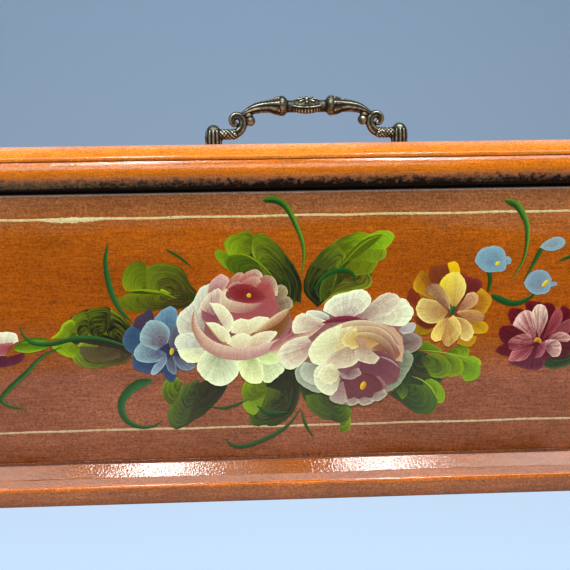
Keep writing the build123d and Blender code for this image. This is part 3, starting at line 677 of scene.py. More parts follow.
moss, sap, lime, pitch, umber, olive = "#4c5606", "#6a7c06", "#8aa40c", "#17150e", "#33260f", "#3a4210"
painted_leaves = (
    (  # upper left, beside the pansy
        ((-50, 79), (-56, 87, -66, 88, -74, 86.6, -79, 82.6, -76, 79.2, -66, 78, -56, 77.8), "#2a2c0a",
         "#46500c", "thin"),
        ((-58, 82), (-79, 83.2, -83, 81.5, -82.8, 78.5, -79, 76, -73, 75.4, -66, 76.5, -58, 76.5, -53, 79),
         umber, "#6f7a04", "early"),
        ((-63, 82), (-73, 83.8, -73.2, 89, -72.2, 92.8, -68.8, 94.6, -63.6, 94.8, -59.1, 93.3, -56, 90,
         -54.7, 86.4, -52, 83), umber, "#74840a", "early"),
        ((-72, 84), (-80.4, 84.3, -81.4, 87.7, -81, 91.2, -78.9, 94.4, -75, 95.7, -72, 94.4, -72.6, 90),
         moss, "#7c8c0c", "early"),
    ), (  # above the left rose
        ((-26, 92), (-38, 98.6, -35, 102.6, -29, 103.6, -22, 101, -15, 93, -11.4, 84, -13, 78, -20, 78,
         -30, 86, -38, 98.6), "#26280c", "#505c0c", "thin"),
        ((-36, 96), (-39.5, 98.6, -44.2, 99.8, -44.6, 97.4, -43.2, 95, -40, 92, -36, 90), moss, "#76940c",
         "full"),
        ((-22, 82), (-30.4, 98.5, -30, 104.4, -26.5, 105.8, -22.6, 104, -18, 99.2, -15, 95.3, -12.4, 91,
         -10.6, 85.4, -11.2, 78), pitch, "#6f8006", "early"),
        ((-31, 96.5), (-39.6, 97.6, -41, 102, -39.2, 105, -35.4, 106.2, -32.3, 107.2, -29.8, 105.8,
         -30.4, 100), moss, lime, "early"),
        ((-24, 86), (-28.5, 96, -34, 98, -39, 97.4, -41, 94.6, -38.6, 91, -33, 88), "#2e3a06", "#5c740a",
         "thin"),
    ), (  # above the right rose
        ((6, 86), (-6, 80, -8, 88, -3, 96, 6, 102, 14, 103, 20, 98, 18, 90, 15, 84, 6, 79, -6, 80),
         "#2c3006", "#485606", "full"),
        ((1, 80), (-4.5, 76, -9.8, 82.5, -8.4, 90.5, -4.5, 96.2, 0.5, 98.8, 3.2, 95, 3.4, 88), "#12120c",
         "#66760c", "late"),
        ((9, 90), (9, 90, 14, 90.2, 17.4, 87.2, 16.5, 84, 11, 82, 3, 81, -3, 77), "#3c2c08", "#93a426",
         "thin"),
        ((3, 90), (-7, 92.8, -3.4, 97.8, 1, 101, 5.4, 103.6, 8.6, 101, 6.8, 95.6), olive, "#84980e", "late"),
        ((8, 96), (3, 101.6, 6, 104, 9, 104.8, 12, 105.8, 16, 105.2, 18, 103.6), moss, "#86aa08", "late"),
        ((6, 91), (12, 97.5, 18, 97, 20, 94, 18.6, 91, 16.6, 89.2, 11, 88.6), "#555a04", "#7c8c10", "thin"),
        ((11, 96), (16, 102, 21.6, 100, 23.4, 97.6, 21.8, 94.8, 17, 93.6), "#5a6a04", "#8fa61e", "thin"),
        ((15, 99), (14, 103, 19.6, 106, 24.6, 106, 26.5, 103.9, 25.2, 101.2, 22.8, 98.8), "#5c7c06",
         "#8cac16", "full"),
        ((6, 93), (4, 92, 9, 98.4, 15, 103.2, 21.4, 104.6, 18.4, 101, 12, 96), "#4a5404", "#566006", "thin"),
        ((0, 80), (-3.4, 78, -3.2, 84, -0.6, 89, 3.6, 91.4, 2, 86, 0.6, 81), "#2f340c", "#5c7012", "thin"),
    ), (  # left, towards the bud
        ((-90, 61), (-104, 64.4, -98, 56.8, -90, 55.2, -82, 56.8, -77.4, 60, -78, 66, -90, 67.4, -104, 64.4),
         "#2a2218", "#3c3020", "thin"),
        ((-92, 66), (-104, 68, -102, 74, -96, 77, -88, 77.6, -82, 74, -80, 68, -82, 63), pitch, "#2a240c",
         "full"),
        ((-84, 61), (-99, 64, -102.6, 61, -102.2, 57.6, -99.6, 54.6, -95, 53.3, -88.6, 54, -82, 55,
         -78.4, 57.4), "#3c2c1c", "#86a018", "crescent"),
        ((-84, 61), (-99, 62.6, -99, 59, -96, 56.6, -90, 56, -83, 57.6), "#3c2c1c", "#564c26", "full"),
        ((-99, 62), (-103, 64.5, -110, 63.2, -108.4, 60.6, -105, 58.4, -101.6, 57.8), moss, lime, "full"),
        ((-84, 65), (-91, 67.5, -92.2, 71, -91, 75.6, -87, 77.2, -83.4, 75.8, -80.2, 72.5, -78, 68.5,
         -78, 64), "#1c160c", "#9aa818", "crescent"),
        ((-91, 65.5), (-96.4, 67, -98.2, 70.4, -97.4, 74, -94.4, 77.2, -90, 78, -86.6, 77.4, -87, 70),
         "#221e0a", "#8ea018", "crescent"),
        ((-96, 65.5), (-101.4, 67, -102.8, 70.4, -101.8, 73.8, -98.6, 76, -95.2, 75.8, -95, 70), "#26240a",
         "#9cb414", "crescent"),
        ((-100, 65.5), (-110.4, 65.8, -107, 68.6, -105.6, 71.4, -103, 73, -101, 72.4, -100.4, 69), olive,
         "#9ab40c", "rim"),
    ), (  # below the pansy
        ((-48, 48), (-59, 44, -61, 38, -58.8, 29, -54.6, 31, -50.6, 33.4, -45.5, 38.4, -42.2, 42.6,
         -40.6, 46.6), "#1c1814", "#3f4214", "early"),
        ((-52, 48), (-60.4, 45, -64.8, 36, -65.4, 31.6, -63.4, 27.8, -58.6, 28.8, -56, 34, -54, 42),
         "#26281a", "#5a7018", "early"),
        ((-59, 46.6), (-61, 49, -65.6, 48, -67.2, 44, -66.4, 40, -63.6, 37.6, -61, 41), olive, "#7a940c",
         "early"),
    ), (  # below the left rose
        ((-21, 50), (-33, 46, -33.4, 38, -31, 30.4, -26, 28, -20, 28.6, -15.2, 32.6, -12.4, 39, -11.6, 49,
         -20, 52, -30, 50, -33, 46), "#201e14", "#343a16", "thin"),
        ((-19, 42), (-28, 45, -29.8, 38, -31.4, 33, -33, 31, -31.6, 28.4, -27.8, 28, -23, 29.2, -18, 31,
         -15, 34, -13.4, 44), "#1c1a12", "#5c7014", "early"),
        ((-25, 42), (-33.6, 41, -35, 37.6, -33.8, 34.6, -30.6, 32.6, -28.2, 35), "#4a5610", "#7f9a14",
         "full"),
        ((-25, 46), (-33, 48, -35.2, 43.6, -34.8, 39.6, -31, 38.4, -27, 40), moss, "#7c960c", "early"),
    ), (  # below the right rose
        ((-2, 42), (-12.4, 49, -11.6, 42, -8, 35, -3, 31, 3, 29.4, 8, 31.4, 8.4, 40, 2, 49, -6, 51,
         -12.4, 49), "#23291a", "#3a441e", "thin"),
        ((4.5, 33), (4.2, 27.6, 4.4, 24.9, 6.2, 24.3, 8.2, 25.4, 8.6, 29, 8.2, 33), moss, "#90a40c", "late"),
        ((2, 38), (0, 30, 3.6, 28.3, 6.6, 28.6, 8.4, 30.6, 8.8, 33.4, 7.6, 37), "#2c3416", "#63800f",
         "late"),
        ((0, 42), (-9.8, 40, -8.6, 35.4, -4.6, 31.2, -0.4, 29.6, 1.6, 33, 1.8, 38), "#30361a", "#52660f",
         "early"),
    ), (  # right, below the golden blossom
        ((37, 56), (32, 52, 34, 47, 39, 45.6, 44, 46.6, 47, 50), "#26261c", "#4c5618", "late"),
        ((38, 57), (37.4, 59.6, 39.4, 61.4, 42.6, 59.4, 45.8, 57.6, 44, 56.4), olive, "#6f8a08", "full"),
        ((47, 56), (48, 56.6, 51.6, 58.8, 56, 58.6, 57, 55.8, 55, 53.6), moss, "#82a20e", "late"),
        ((52, 53), (55.6, 54.6, 59.4, 54.4, 61.8, 52.2, 61.4, 49.6), moss, "#8eac12", "full"),
        ((50, 53), (54.4, 54.4, 60.6, 51.4, 61.6, 47.6, 59.2, 44.8, 55.4, 44.4, 54, 47), "#42541a",
         "#7a9c12", "full"),
        ((43, 54), (49, 56, 53.6, 53.4, 54.8, 50, 53.4, 47.2, 49.6, 46.4, 47, 47), "#3f4a16", "#869a10",
         "rim"),
        ((37, 54), (42, 56.6, 46.6, 54.8, 49.2, 52, 49.6, 49.4, 48, 46.8, 44.6, 45.9, 41.4, 46.8), "#2e321a",
         "#76900c", "rim"),
    ), (  # lower right of the right rose
        ((36, 47), (28, 50, 29, 43, 34, 40, 41, 41.4, 46, 45, 46, 50, 40, 56, 32, 58, 28, 50), "#26301c",
         "#3c4a20", "thin"),
        ((38, 43.4), (40, 46.4, 44.6, 44, 47.2, 39.6, 46.4, 35.8, 43.6, 35.6), "#3a5010", "#82a20e", "full"),
        ((31, 44), (24, 39.6, 29, 36.4, 34.2, 32.2, 39.8, 30.9, 43.8, 33.8, 44, 38, 41, 42.6), "#26301e",
         "#4f6c16", "late"),
        ((26.6, 41.6), (30, 45, 31.8, 42, 31.6, 39, 29.6, 37.4), "#28341e", "#64800f", "late"),
    ), (  # behind the crimson blossom
        ((88, 56), (86, 52, 88.6, 49.4, 92.4, 48.6, 98, 50, 104, 53, 107, 57, 101, 60), "#18201c", "#44542a",
         "thin"),
        ((90, 57), (92, 50.4, 97, 50.6, 102, 53, 104.6, 56.4, 99, 58.6), "#20281c", "#66801c", "late"),
    ),
)
leaf_paint = brush_paint("oil paint, leaves", 0.20)
for number, lobes in enumerate(painted_leaves):
    foliage = PaintLayer(lift=0.02 + 0.045 * (number % 2), seed=40 + number)
    foliage.paint(lobes)
    foliage.dry(f"painted_leaf_{number + 1}", leaf_paint)

midribs = PaintLayer(lift=0.12, seed=60)
for points, width, pale in (
        ([(-80, 83.9), (-74, 84.4), (-66.6, 83.4), (-60, 80.6)], 0.7, "#93a40c"),
        ([(-39, 97.8), (-33, 97.6), (-27, 94), (-21, 87.5)], 0.6, "#7f8f14"),
        ([(-30, 101), (-29.4, 97.6), (-28.6, 96)], 0.5, "#96a83c"),
        ([(3.4, 90.4), (12, 99.5), (18, 103.4), (23, 104.2)], 0.5, "#7f9610"),
        ([(36.6, 57.6), (43, 57), (50, 55.6), (56.4, 53.6), (60.8, 50.6)], 0.6, "#93a83a"),
        ([(33.4, 47), (37.4, 45.4), (40.8, 42.8), (43, 39.6), (44.4, 36.4)], 0.6, "#92ae34")):
    midribs.stroke(points, width, sap, pale, load="even", rows=30)
midribs.stroke([(-66.8, 84), (-64.6, 83.4), (-62.4, 82.6)], 1.7, sap, "#a0b40e", shape="comma")
midribs.dry("leaf_midribs", leaf_paint)


# Green tendrils and stalks: dark green paint over the stained wood, each a single stroke of a liner
# brush that starts full and runs out thin.

stem_deep, stem_pale = "#163c12", "#35662a"
tendrils = (
    # (points, width, shape, pale tone)
    ([(-86.4, 103.7), (-87.7, 95.8), (-86.3, 85.5), (-83.1, 77.4), (-77.4, 70.9)], 2.3, "lens", stem_pale),
    ([(-64.3, 100.5), (-59.3, 97.6), (-53.9, 93.2)], 1.1, "lens", "#36501c"),
    ([(-25.6, 119), (-20.7, 119), (-16.2, 116), (-12.2, 108.2), (-9.9, 101.1), (-9.8, 94.3),
      (-10.8, 87.9)], 2.8, "comma", "#5f9020"),
    ([(70.6, 117.4), (75.6, 115.2), (79.3, 108.6), (79.9, 101.4), (78.4, 93.4), (73.4, 84.6)], 2.9,
     "comma", "#68942c"),
    ([(62.2, 93), (65.1, 86.8), (63.8, 79.1)], 1.8, "lens", "#2c4a14"),
    ([(65.6, 79.4), (74.2, 76), (81.1, 77.9), (86.5, 83.6)], 2.7, "comma", "#1f5a24"),
    ([(86, 98.4), (82.5, 91.7), (78.6, 84.8)], 1.9, "comma", "#2c5c1e"),
    ([(92.6, 92.6), (97.5, 94.6), (104, 97.8)], 1.3, "lens", stem_pale),
    ([(79.9, 76.4), (83.2, 75.8), (85.2, 73)], 0.9, "lens", "#2c3c1c"),
    ([(-71, 48), (-78, 45.8), (-83.4, 39.8), (-82.8, 33.2), (-78, 29.4), (-72, 28.9), (-67, 31.6)], 3.6,
     "comma", "#2c6030"),
    ([(-122.4, 72), (-120.8, 67.1), (-117.4, 64.2), (-110.8, 63.6), (-100.9, 65.6), (-93, 65.6),
      (-85.2, 63.6), (-79, 61.2)], 1.9, "lens", "#3a6a2c"),
    ([(-106, 62.5), (-114.2, 58.5), (-121.2, 51.7), (-127.4, 46.2), (-131, 41.8), (-128.5, 39.2),
      (-121.5, 37.4)], 1.9, "lens", stem_pale),
    ([(-42.3, 23.3), (-40.2, 20.7), (-36.5, 19.6), (-30.4, 20.9), (-22.2, 24.4), (-16.1, 28.8),
      (-11.5, 34.9)], 1.7, "lens", "#2c5428"),
    ([(-11.5, 34.1), (-9.6, 27.8), (-6.4, 22.3)], 1.2, "lens", "#3c5024"),
    ([(-29.4, 36.4), (-24.9, 33.6), (-16.4, 33.4)], 1.6, "lens", "#24502c"),
    ([(-49, 36.7), (-43, 35.8), (-38.2, 36.9), (-33, 39)], 1.2, "lens", "#2c4a20"),
    ([(-6.2, 83), (-1.3, 88.5), (4.7, 90.8), (9.5, 89.5), (11.3, 85)], 1.6, "lens", "#205a1e"),
)
greenery = PaintLayer(lift=0.13, seed=70)
for points, width, shape, pale in tendrils:
    greenery.stroke(points, width, stem_deep, pale, shape=shape, rows=44)
greenery.dry("painted_tendrils", leaf_paint)


# Buds: one at the left end of the swag and a like one that closes it at the right end, each three
# turns of the brush with a calyx of green strokes.

def bud(layer, centre, mirror):
    """A bud about its centre: wine below, cream above, a blush between and a green calyx."""
    def at(*rim):
        pairs = np.array(rim, float).reshape(-1, 2)
        return (pairs * (mirror, 1) + centre).ravel()

    layer.paint((
        (at(3, -3), at(9.8, -1, 8, -5, 0, -7, -7, -6.2, -11.6, -3, -11.4, 0.6), "#4a1424", "#6c2438",
         "thin"),
        (at(2, 0.6), at(7.6, 3.4, 6.6, 6.2, 3.2, 7.2, -3, 6.6, -9, 4.4, -11.2, 1), "#b49a7f", "#eceabd",
         "full"),
        (at(3.6, 0.4), at(5.6, 3, 0, 2.4, -4.6, 0.4, -3.4, -2.2, 2, -2.4), "#8c343d", "#b87c6e", "rim"),
    ))
    for spine, width, deep, pale in (
            ((21, 1.6, 13, 2, 5.4, 0.6), 5.4, "#3f5a06", "#6c8806"),
            ((18, 0.2, 11, -0.2, 5.2, 0), 2.4, "#52700a", "#8aa410"),
            ((20, 3.4, 14, 3.8, 8.4, 2.6), 2.0, "#3c5c0c", "#6c8c10")):
        layer.stroke(at(*spine).reshape(-1, 2), width, deep, pale, rows=26)


petal_paint = brush_paint("oil paint, petals", 0.10, fan=0.13)
left_bud = PaintLayer(lift=0.13, seed=81, fanned=True)
bud(left_bud, (-130.5, 61.7), 1)
left_bud.dry("painted_bud_left", petal_paint)
right_bud = PaintLayer(lift=0.13, seed=82, fanned=True)
bud(right_bud, (134.0, 63.0), -1)
for points, width in (([(124, 62), (110, 60.6), (101, 58)], 2.0), ([(108, 61), (118, 54), (131, 43)], 2.2),
                      ([(122, 64), (128, 69), (135, 75)], 1.6)):
    right_bud.stroke(points, width, stem_deep, stem_pale)
right_bud.dry("painted_bud_right", petal_paint)


# Bluebells: each a domed body with a small knob, blocked in with one flat dull blue, with a dab of
# yellow in its mouth.

bells = PaintLayer(lift=0.15, seed=90)
bells.paint((
    ((66, 93), (58.8, 93.2, 60.6, 97.4, 65, 99.2, 68.6, 98.9, 70.8, 97.1, 71.5, 94.2, 71.2, 89.6, 68, 88.9,
     64, 88.8, 61.6, 90, 58.8, 93.2), "#64808b", "#86a8a9", "rim"),
    ((72, 93), (71, 94.6, 72.6, 94.9, 73.6, 93.6, 73.2, 92, 71, 91.6), "#749092", "#86a8a5", "rim"),
    ((85, 84.6), (78.8, 84, 80.6, 87.2, 83.4, 89.1, 87.4, 88.9, 89.7, 86.4, 90, 84, 89, 80.4, 86.2, 79.4,
     83, 79.6, 80.2, 81.6, 78.8, 84), "#6e7c85", "#82a4a9", "rim"),
    ((90, 83.4), (89.6, 84.4, 91.6, 84.2, 92.5, 83.3, 91.4, 82.6, 89.4, 82.2), "#70888f", "#84a4a5", "rim"),
    ((90, 99.4), (85, 98.4, 87, 100.4, 90.4, 102.2, 93.6, 102.3, 95.3, 100.8, 94.8, 98.8, 92.6, 97.4,
     90, 96.8, 87.4, 97.2, 85, 98.4), "#798888", "#8aa8a9", "rim"),
))
for start, end in (((67.4, 91.4), (68.9, 93)), ((86.4, 82.4), (88.9, 85.2))):
    bells.stroke([start, end], 1.7, "#b8941c", "#e6d23c", shape="oval")
bells.dry("painted_bluebells", leaf_paint)


# Pansy: a ring of plain dark petals behind, and in front lighter ones with mauve throats, each one
# turn of the brush round the eye.

pansy = PaintLayer(lift=0.16, seed=101, fanned=True)
pansy.paint((
    ((-63, 59.4), (-78, 60, -73, 71, -64, 73, -59, 66, -57, 55, -65, 51, -75, 53, -78, 60), "#2a2c3e",
     "#34405c", "thin"),
    ((-68, 63), (-76, 70.4, -79.2, 69.8, -82, 66, -81.5, 61.6, -79, 59.2, -75, 58), "#2c4054", "#446078",
     "thin"),
    ((-66, 64), (-78, 70, -76.6, 73.4, -73.6, 75, -71, 77, -69.6, 74, -68.6, 70), "#2e222c", "#423444",
     "full"),
    ((-64, 63), (-69.4, 72.6, -66.6, 75.9, -62.6, 77.7, -60.2, 75, -60.6, 70), "#3e5466", "#739aa5", "rim"),
    ((-66, 58), (-78.6, 58, -78.4, 53.6, -75, 51.5, -71.6, 51.2, -68, 53), "#1e2438", "#344a68", "full"),
    ((-63.6, 56), (-66.4, 53, -65.8, 49, -63.4, 47, -61.6, 48.8, -61.4, 52.6), "#1e2438", "#2c4260", "full"),
    ((-62.8, 59), (-64, 63, -62.6, 68, -60.8, 70, -59.4, 66, -59.6, 61), "#473e4b", "#6a666b", "rim"),
    ((-64.8, 59), (-74.6, 63.6, -77, 61.4, -77.9, 58.9, -76.8, 56.4, -73.2, 55.2, -69.2, 55.4, -65.2, 57),
     "#4d4c63", "#93b6af", "rim"),
    ((-65.6, 62), (-69, 60.2, -74.4, 62.6, -75.4, 65.4, -74.3, 68.8, -71.7, 71.9, -68.6, 72.4, -65.2, 70.6,
     -63.4, 67.4, -64.4, 63), "#5e4c58", "#98bab1", "rim"),
    ((-64.8, 58), (-70, 54.2, -71.5, 51.2, -70.6, 50, -68.3, 51.2, -64.8, 55.2), "#535068", "#9ab0af",
     "full"),
    ((-63.2, 57.6), (-65.4, 55, -64.4, 51.6, -61.6, 50, -61.2, 53, -62.2, 57), "#3c3444", "#7c8890", "rim"),
    ((-61.8, 58), (-62.6, 57.6, -61.3, 54.2, -59.2, 52, -56.4, 51.6, -53.8, 53, -55, 55), "#423c4b",
     "#80909b", "rim"),
))
pansy.stroke([(-63.2, 58), (-62.5, 61)], 1.6, "#a8821c", "#e2c43c", shape="oval")
pansy.dry("painted_pansy", petal_paint)


# Golden blossom: maroon and old gold petals behind and cream-rimmed tan ones in front, each one turn
# of the brush, and a dab of green for its eye.

maroon = "#5a1812"
golden = PaintLayer(lift=0.18, seed=111, fanned=True)
golden.paint((
    ((50, 74), (35, 72, 38, 84, 46, 88, 56, 86, 61, 78, 59, 66, 52, 62, 41, 65, 35, 72), "#6a2c12",
     "#94561e", "full"),
    ((44, 77), (34, 82, 34.4, 85.4, 36, 88.4, 38, 89.9, 40, 88, 41, 83), "#7a3a0c", "#cc9410", "early"),
    ((46, 78), (40.2, 86.6, 40.8, 90.6, 42.6, 91.8, 46, 92, 48, 92.6, 49.4, 90, 49.6, 86), maroon, "#7c3812",
     "full"),
    ((50.4, 84), (48.9, 89.6, 48, 92.4, 51, 93.3, 52.6, 91.2, 53, 88.6), "#b88404", "#eab80c", "full"),
    ((52, 77), (53, 89.2, 56, 87.4, 59.8, 86.4, 62, 84.8, 61.6, 81.4, 59, 78.6), maroon, "#84302a", "thin"),
    ((54, 75), (61.6, 82.6, 64.6, 80, 66, 77.6, 65.2, 75, 63, 72, 60, 70.8), "#803c10", "#cc9014", "rim"),
    ((40, 75.6), (36, 80, 33.6, 83, 31.7, 80, 31.3, 77.2, 33, 74, 34.8, 72.4, 37, 72), "#6a1a10", "#a04c10",
     "late"),
    ((44, 72), (35, 69.6, 34.3, 67, 34.8, 65, 37.8, 63.8, 41, 64.6), "#6a3808", "#9a7206", "full"),
    ((44, 73), (34.6, 71.4, 35.2, 68.8, 37.2, 67.1, 40, 66, 43, 67), "#541a12", "#7c3414", "thin"),
    ((56, 70), (60, 70, 63, 68.6, 64.6, 66.7, 63.9, 64.3, 61.2, 63.8, 58, 64), "#8a5610", "#c89610", "full"),
    ((53, 65), (60, 62.6, 59.2, 60.2, 57.4, 58.7, 55, 58.8, 52, 60), "#8a5c14", "#b8800e", "full"),
    ((50.5, 74), (44.6, 84.6, 46.2, 87, 48.9, 88.9, 52, 89, 54.3, 86.8, 55.4, 83.6, 54.8, 80.2, 53, 77.4),
     "#a87636", ("#e6c81c", "#f0da78"), "full"),
    ((49, 73.6), (38.6, 81.6, 40.6, 84.3, 43, 84.6, 45, 83.8, 47.4, 81.2, 49, 78, 48.6, 75), "#80503c",
     "#f0d067", "late"),
    ((52, 73.4), (54.9, 78.6, 56, 80.3, 58.7, 80.8, 60.3, 79, 59.9, 76.2, 57.7, 74.6, 54.9, 73), "#8e5038",
     "#dcac6b", "rim"),
    ((48.4, 73.4), (43.4, 77.6, 39.4, 78.6, 37.2, 78.5, 35.8, 76.6, 35.2, 74.3, 36, 71.6, 38.5, 69.3,
     41.6, 68.4, 46, 69.4), "#9a6436", "#e8d072", "rim"),
    ((51.6, 72.4), (52.2, 73.2, 56.1, 73.6, 60, 73.4, 62.4, 72, 63.1, 70.2, 61.5, 68.8, 57, 68.6), "#985c36",
     "#e6b460", "early"),
    ((52, 70), (51, 71, 54.8, 70, 57.5, 67.7, 58.7, 64.4, 57.6, 61.8, 55.8, 60.8, 53.4, 62), "#a46e3a",
     "#f0d875", "rim"),
    ((48.6, 71), (44.6, 69.4, 42, 65.8, 41.2, 62.8, 43.1, 61, 45.8, 62, 47.6, 65), "#a06a3c", "#f2d060",
     "full"),
    ((48, 70), (45.4, 62, 47.6, 58.8, 50.3, 60.2, 52.4, 62.2, 53.6, 65.2, 53, 68.6, 50.4, 71.6), "#ac783a",
     "#f4dc72", "late"),
))
golden.stroke([(48.9, 72), (50.9, 75.4)], 2.0, "#143c20", "#2c6a3d", shape="oval")
golden.dry("painted_golden_blossom", petal_paint)


# Crimson blossom: plain dark red petals behind, and in front striped ones where white paint has
# parted in the hairs of the brush.

wine, ruby = "#4a0a12", "#6e121c"
striped_paint = brush_paint("oil paint, striped petals", 0.12, fan=0.36)
crimson = PaintLayer(lift=0.18, seed=121, fanned=True)
crimson.paint((
    ((86, 62), (73, 61, 77, 71, 88, 74, 98, 70, 98, 60, 92, 54, 80, 52, 73, 61), "#4e1018", "#6a1c28",
     "thin"),
    ((84, 61), (73.8, 68, 72.6, 71.6, 73.8, 73.6, 76, 74, 79, 73, 81, 70), wine, ruby, "thin"),
    ((85, 62), (80, 73, 79.8, 76, 82, 76.6, 85.4, 76.2, 88, 75), wine, ruby, "thin"),
    ((86, 61), (87, 75.4, 90, 75.6, 92, 73.2, 92.4, 69), wine, ruby, "thin"),
    ((88, 60), (93.6, 73.6, 96, 74.4, 98.4, 72, 101, 67.6, 101.6, 63, 99, 60), wine, ruby, "thin"),
    ((83, 59), (74.6, 67, 70.4, 66.6, 68.9, 64.4, 69.8, 61, 72, 59), wine, ruby, "thin"),
    ((83, 58), (71.4, 59.8, 67.9, 57.2, 69.8, 55.2, 73.6, 54.2, 77, 55), wine, ruby, "thin"),
    ((89, 57), (92, 61, 98.6, 60.6, 99.6, 57, 96.6, 53.6, 91, 53), "#3f1018", "#641824", "thin"),
    ((84, 57), (74.4, 54, 73.8, 51.4, 77.6, 49.9, 80.6, 48.9, 84.1, 48.3, 87, 49.4, 88.6, 53), "#4c1420",
     "#742c3c", "thin"),
    ((88, 60), (92.4, 66, 96.6, 68.6, 99.6, 69, 100.4, 66, 97, 63), "#6a2028", "#904c48", "rim"),
    ((87, 61), (89.4, 68, 91, 71.4, 93.2, 73.5, 94.8, 71.6, 94.6, 68.4, 91.8, 64.2), "#6a1a24", "#a24d4d",
     "rim"),
    ((88.4, 60), (91, 62.8, 93.8, 63.8, 96.8, 63.2, 98.6, 61.4, 97.2, 59.6), "#6c1c28", "#d7a28c", "rim"),
    ((84, 61), (74.6, 67, 76.4, 70.6, 79, 72.6, 81.4, 72.8, 83.7, 70.6, 84.4, 68, 84, 64.4), "#7a2430",
     "#e6b69e", "rim"),
    ((85.4, 61.4), (82.2, 72, 84, 74.8, 86.6, 75.2, 88.5, 72.8, 88.8, 69.4, 87.2, 65), "#843a3e", "#eacbaa",
     "rim"),
    ((83.6, 59.6), (82, 62.8, 79.4, 63.4, 76, 62.6, 73, 60.4, 73.6, 57.4, 77, 56.4), "#741c28", "#c88679",
     "early"),
    ((83.6, 58.4), (74.4, 56.4, 73, 52.6, 76, 52.1, 79.6, 52.6, 82, 55), "#74222e", "#cc7872", "rim"),
    ((87.4, 57.4), (88.2, 60.4, 90.8, 60.8, 93.4, 60, 94.8, 57.4, 93.8, 54, 91, 53.6), "#641e2a", "#e3b59d",
     "rim"),
    ((85, 58), (83.6, 53.2, 86.6, 53.8, 88.3, 57, 87.8, 60.4), "#70222e", "#a65e68", "rim"),
))
crimson.stroke([(83.4, 60), (85, 60.9), (86.4, 59.3)], 1.7, "#9b5711", "#d79732", shape="oval")
crimson.dry("painted_crimson_blossom", striped_paint)


# Left rose: a deep pink cup with scalloped petals behind it, white ones turned in before it, a long
# cradling stroke under those, and a skirt of broad white petals.

cream, rose, dusk = "#eceab3", "#964443", "#7a2028"
rose_left = PaintLayer(lift=0.22, seed=131, fanned=True)
rose_left.paint((
    ((-36, 70), (-56, 72, -49, 84, -38, 88, -25, 88, -17, 78, -15, 68, -24, 60, -37, 58, -49, 61, -56, 72),
     "#743a30", "#96605a", "full"),
    ((-24, 76), (-17.4, 81, -15.4, 80.1, -14.2, 77.9, -14.9, 75.8, -17, 74.6), "#64382e", "#b0a072", "rim"),
    ((-23, 79), (-21, 85, -18.6, 85.4, -16.8, 84.2, -16.1, 82.2, -17.2, 80), "#70483a", "#b4a672", "rim"),
    ((-46, 78), (-51, 80, -49.6, 84.6, -47, 87.2, -45, 86), "#500c14", "#701c28", "full"),
    ((-40, 80), (-41, 84, -39.6, 87, -38, 89, -35.6, 90.7, -33.6, 89.8, -33.6, 87.6), dusk, ("#a84c48",
     "#e0bc8d"), "rim"),
    ((-33, 82), (-35.4, 87.6, -32.8, 90.5, -28.8, 91.8, -26.6, 90.4, -26, 88), "#80262e", ("#b8605a",
     "#e4d4a2"), "rim"),
    ((-27, 81), (-27.4, 88, -25, 89.4, -22.5, 88.8, -20.7, 86.8, -20.2, 84, -20.4, 81), "#742830",
     ("#b0685e", "#dcd094"), "rim"),
    ((-49, 76), (-49.6, 82, -47.6, 85.8, -45.6, 88.3, -42.8, 90, -40.6, 89.4, -39.4, 87.8, -41.4, 83.6),
     "#863438", "#dcb09b", "rim"),
    ((-31, 80), (-36, 86, -32, 88.2, -28.8, 88.9, -27, 87.4, -26.6, 84), "#8c3238", ("#b05c53", "#e4c494"),
     "rim"),
    ((-34, 80), (-40.6, 83.4, -38.9, 86, -36.4, 87, -34, 86, -32, 83), "#8a2c34", "#c48c75", "rim"),
    ((-30, 80), (-28.6, 85.4, -26.2, 87.1, -23.6, 86.8, -22, 84.6, -21.4, 81.4, -21.8, 78, -24, 76),
     "#8c2c30", "#b06051", "rim"),
    ((-31.4, 80.4), (-43, 80, -41.4, 74.6, -36, 70.6, -29, 69.6, -23.6, 71.4, -20, 76, -20.6, 79.4), rose,
     "#a0524c", "rim"),
    ((-33, 81.6), (-39.8, 84.4, -36, 86, -31, 85.6, -27, 83.2, -25, 80.4, -28, 78.8, -32, 78.4, -36, 79,
     -39.4, 81.4, -39.8, 84.4), ("#701418", "#74181a"), "#8e3632", "rim"),
))
rose_left.stroke([(-40.4, 84.4), (-42.4, 81.4), (-41.2, 78.4), (-36.8, 76.8), (-31, 76.6), (-25.6, 78.2)],
                 4.6, ("#c8a47f", "#8c3c3d"), ("#f2eeb5", "#b06a5e"), load="edge", rows=40)
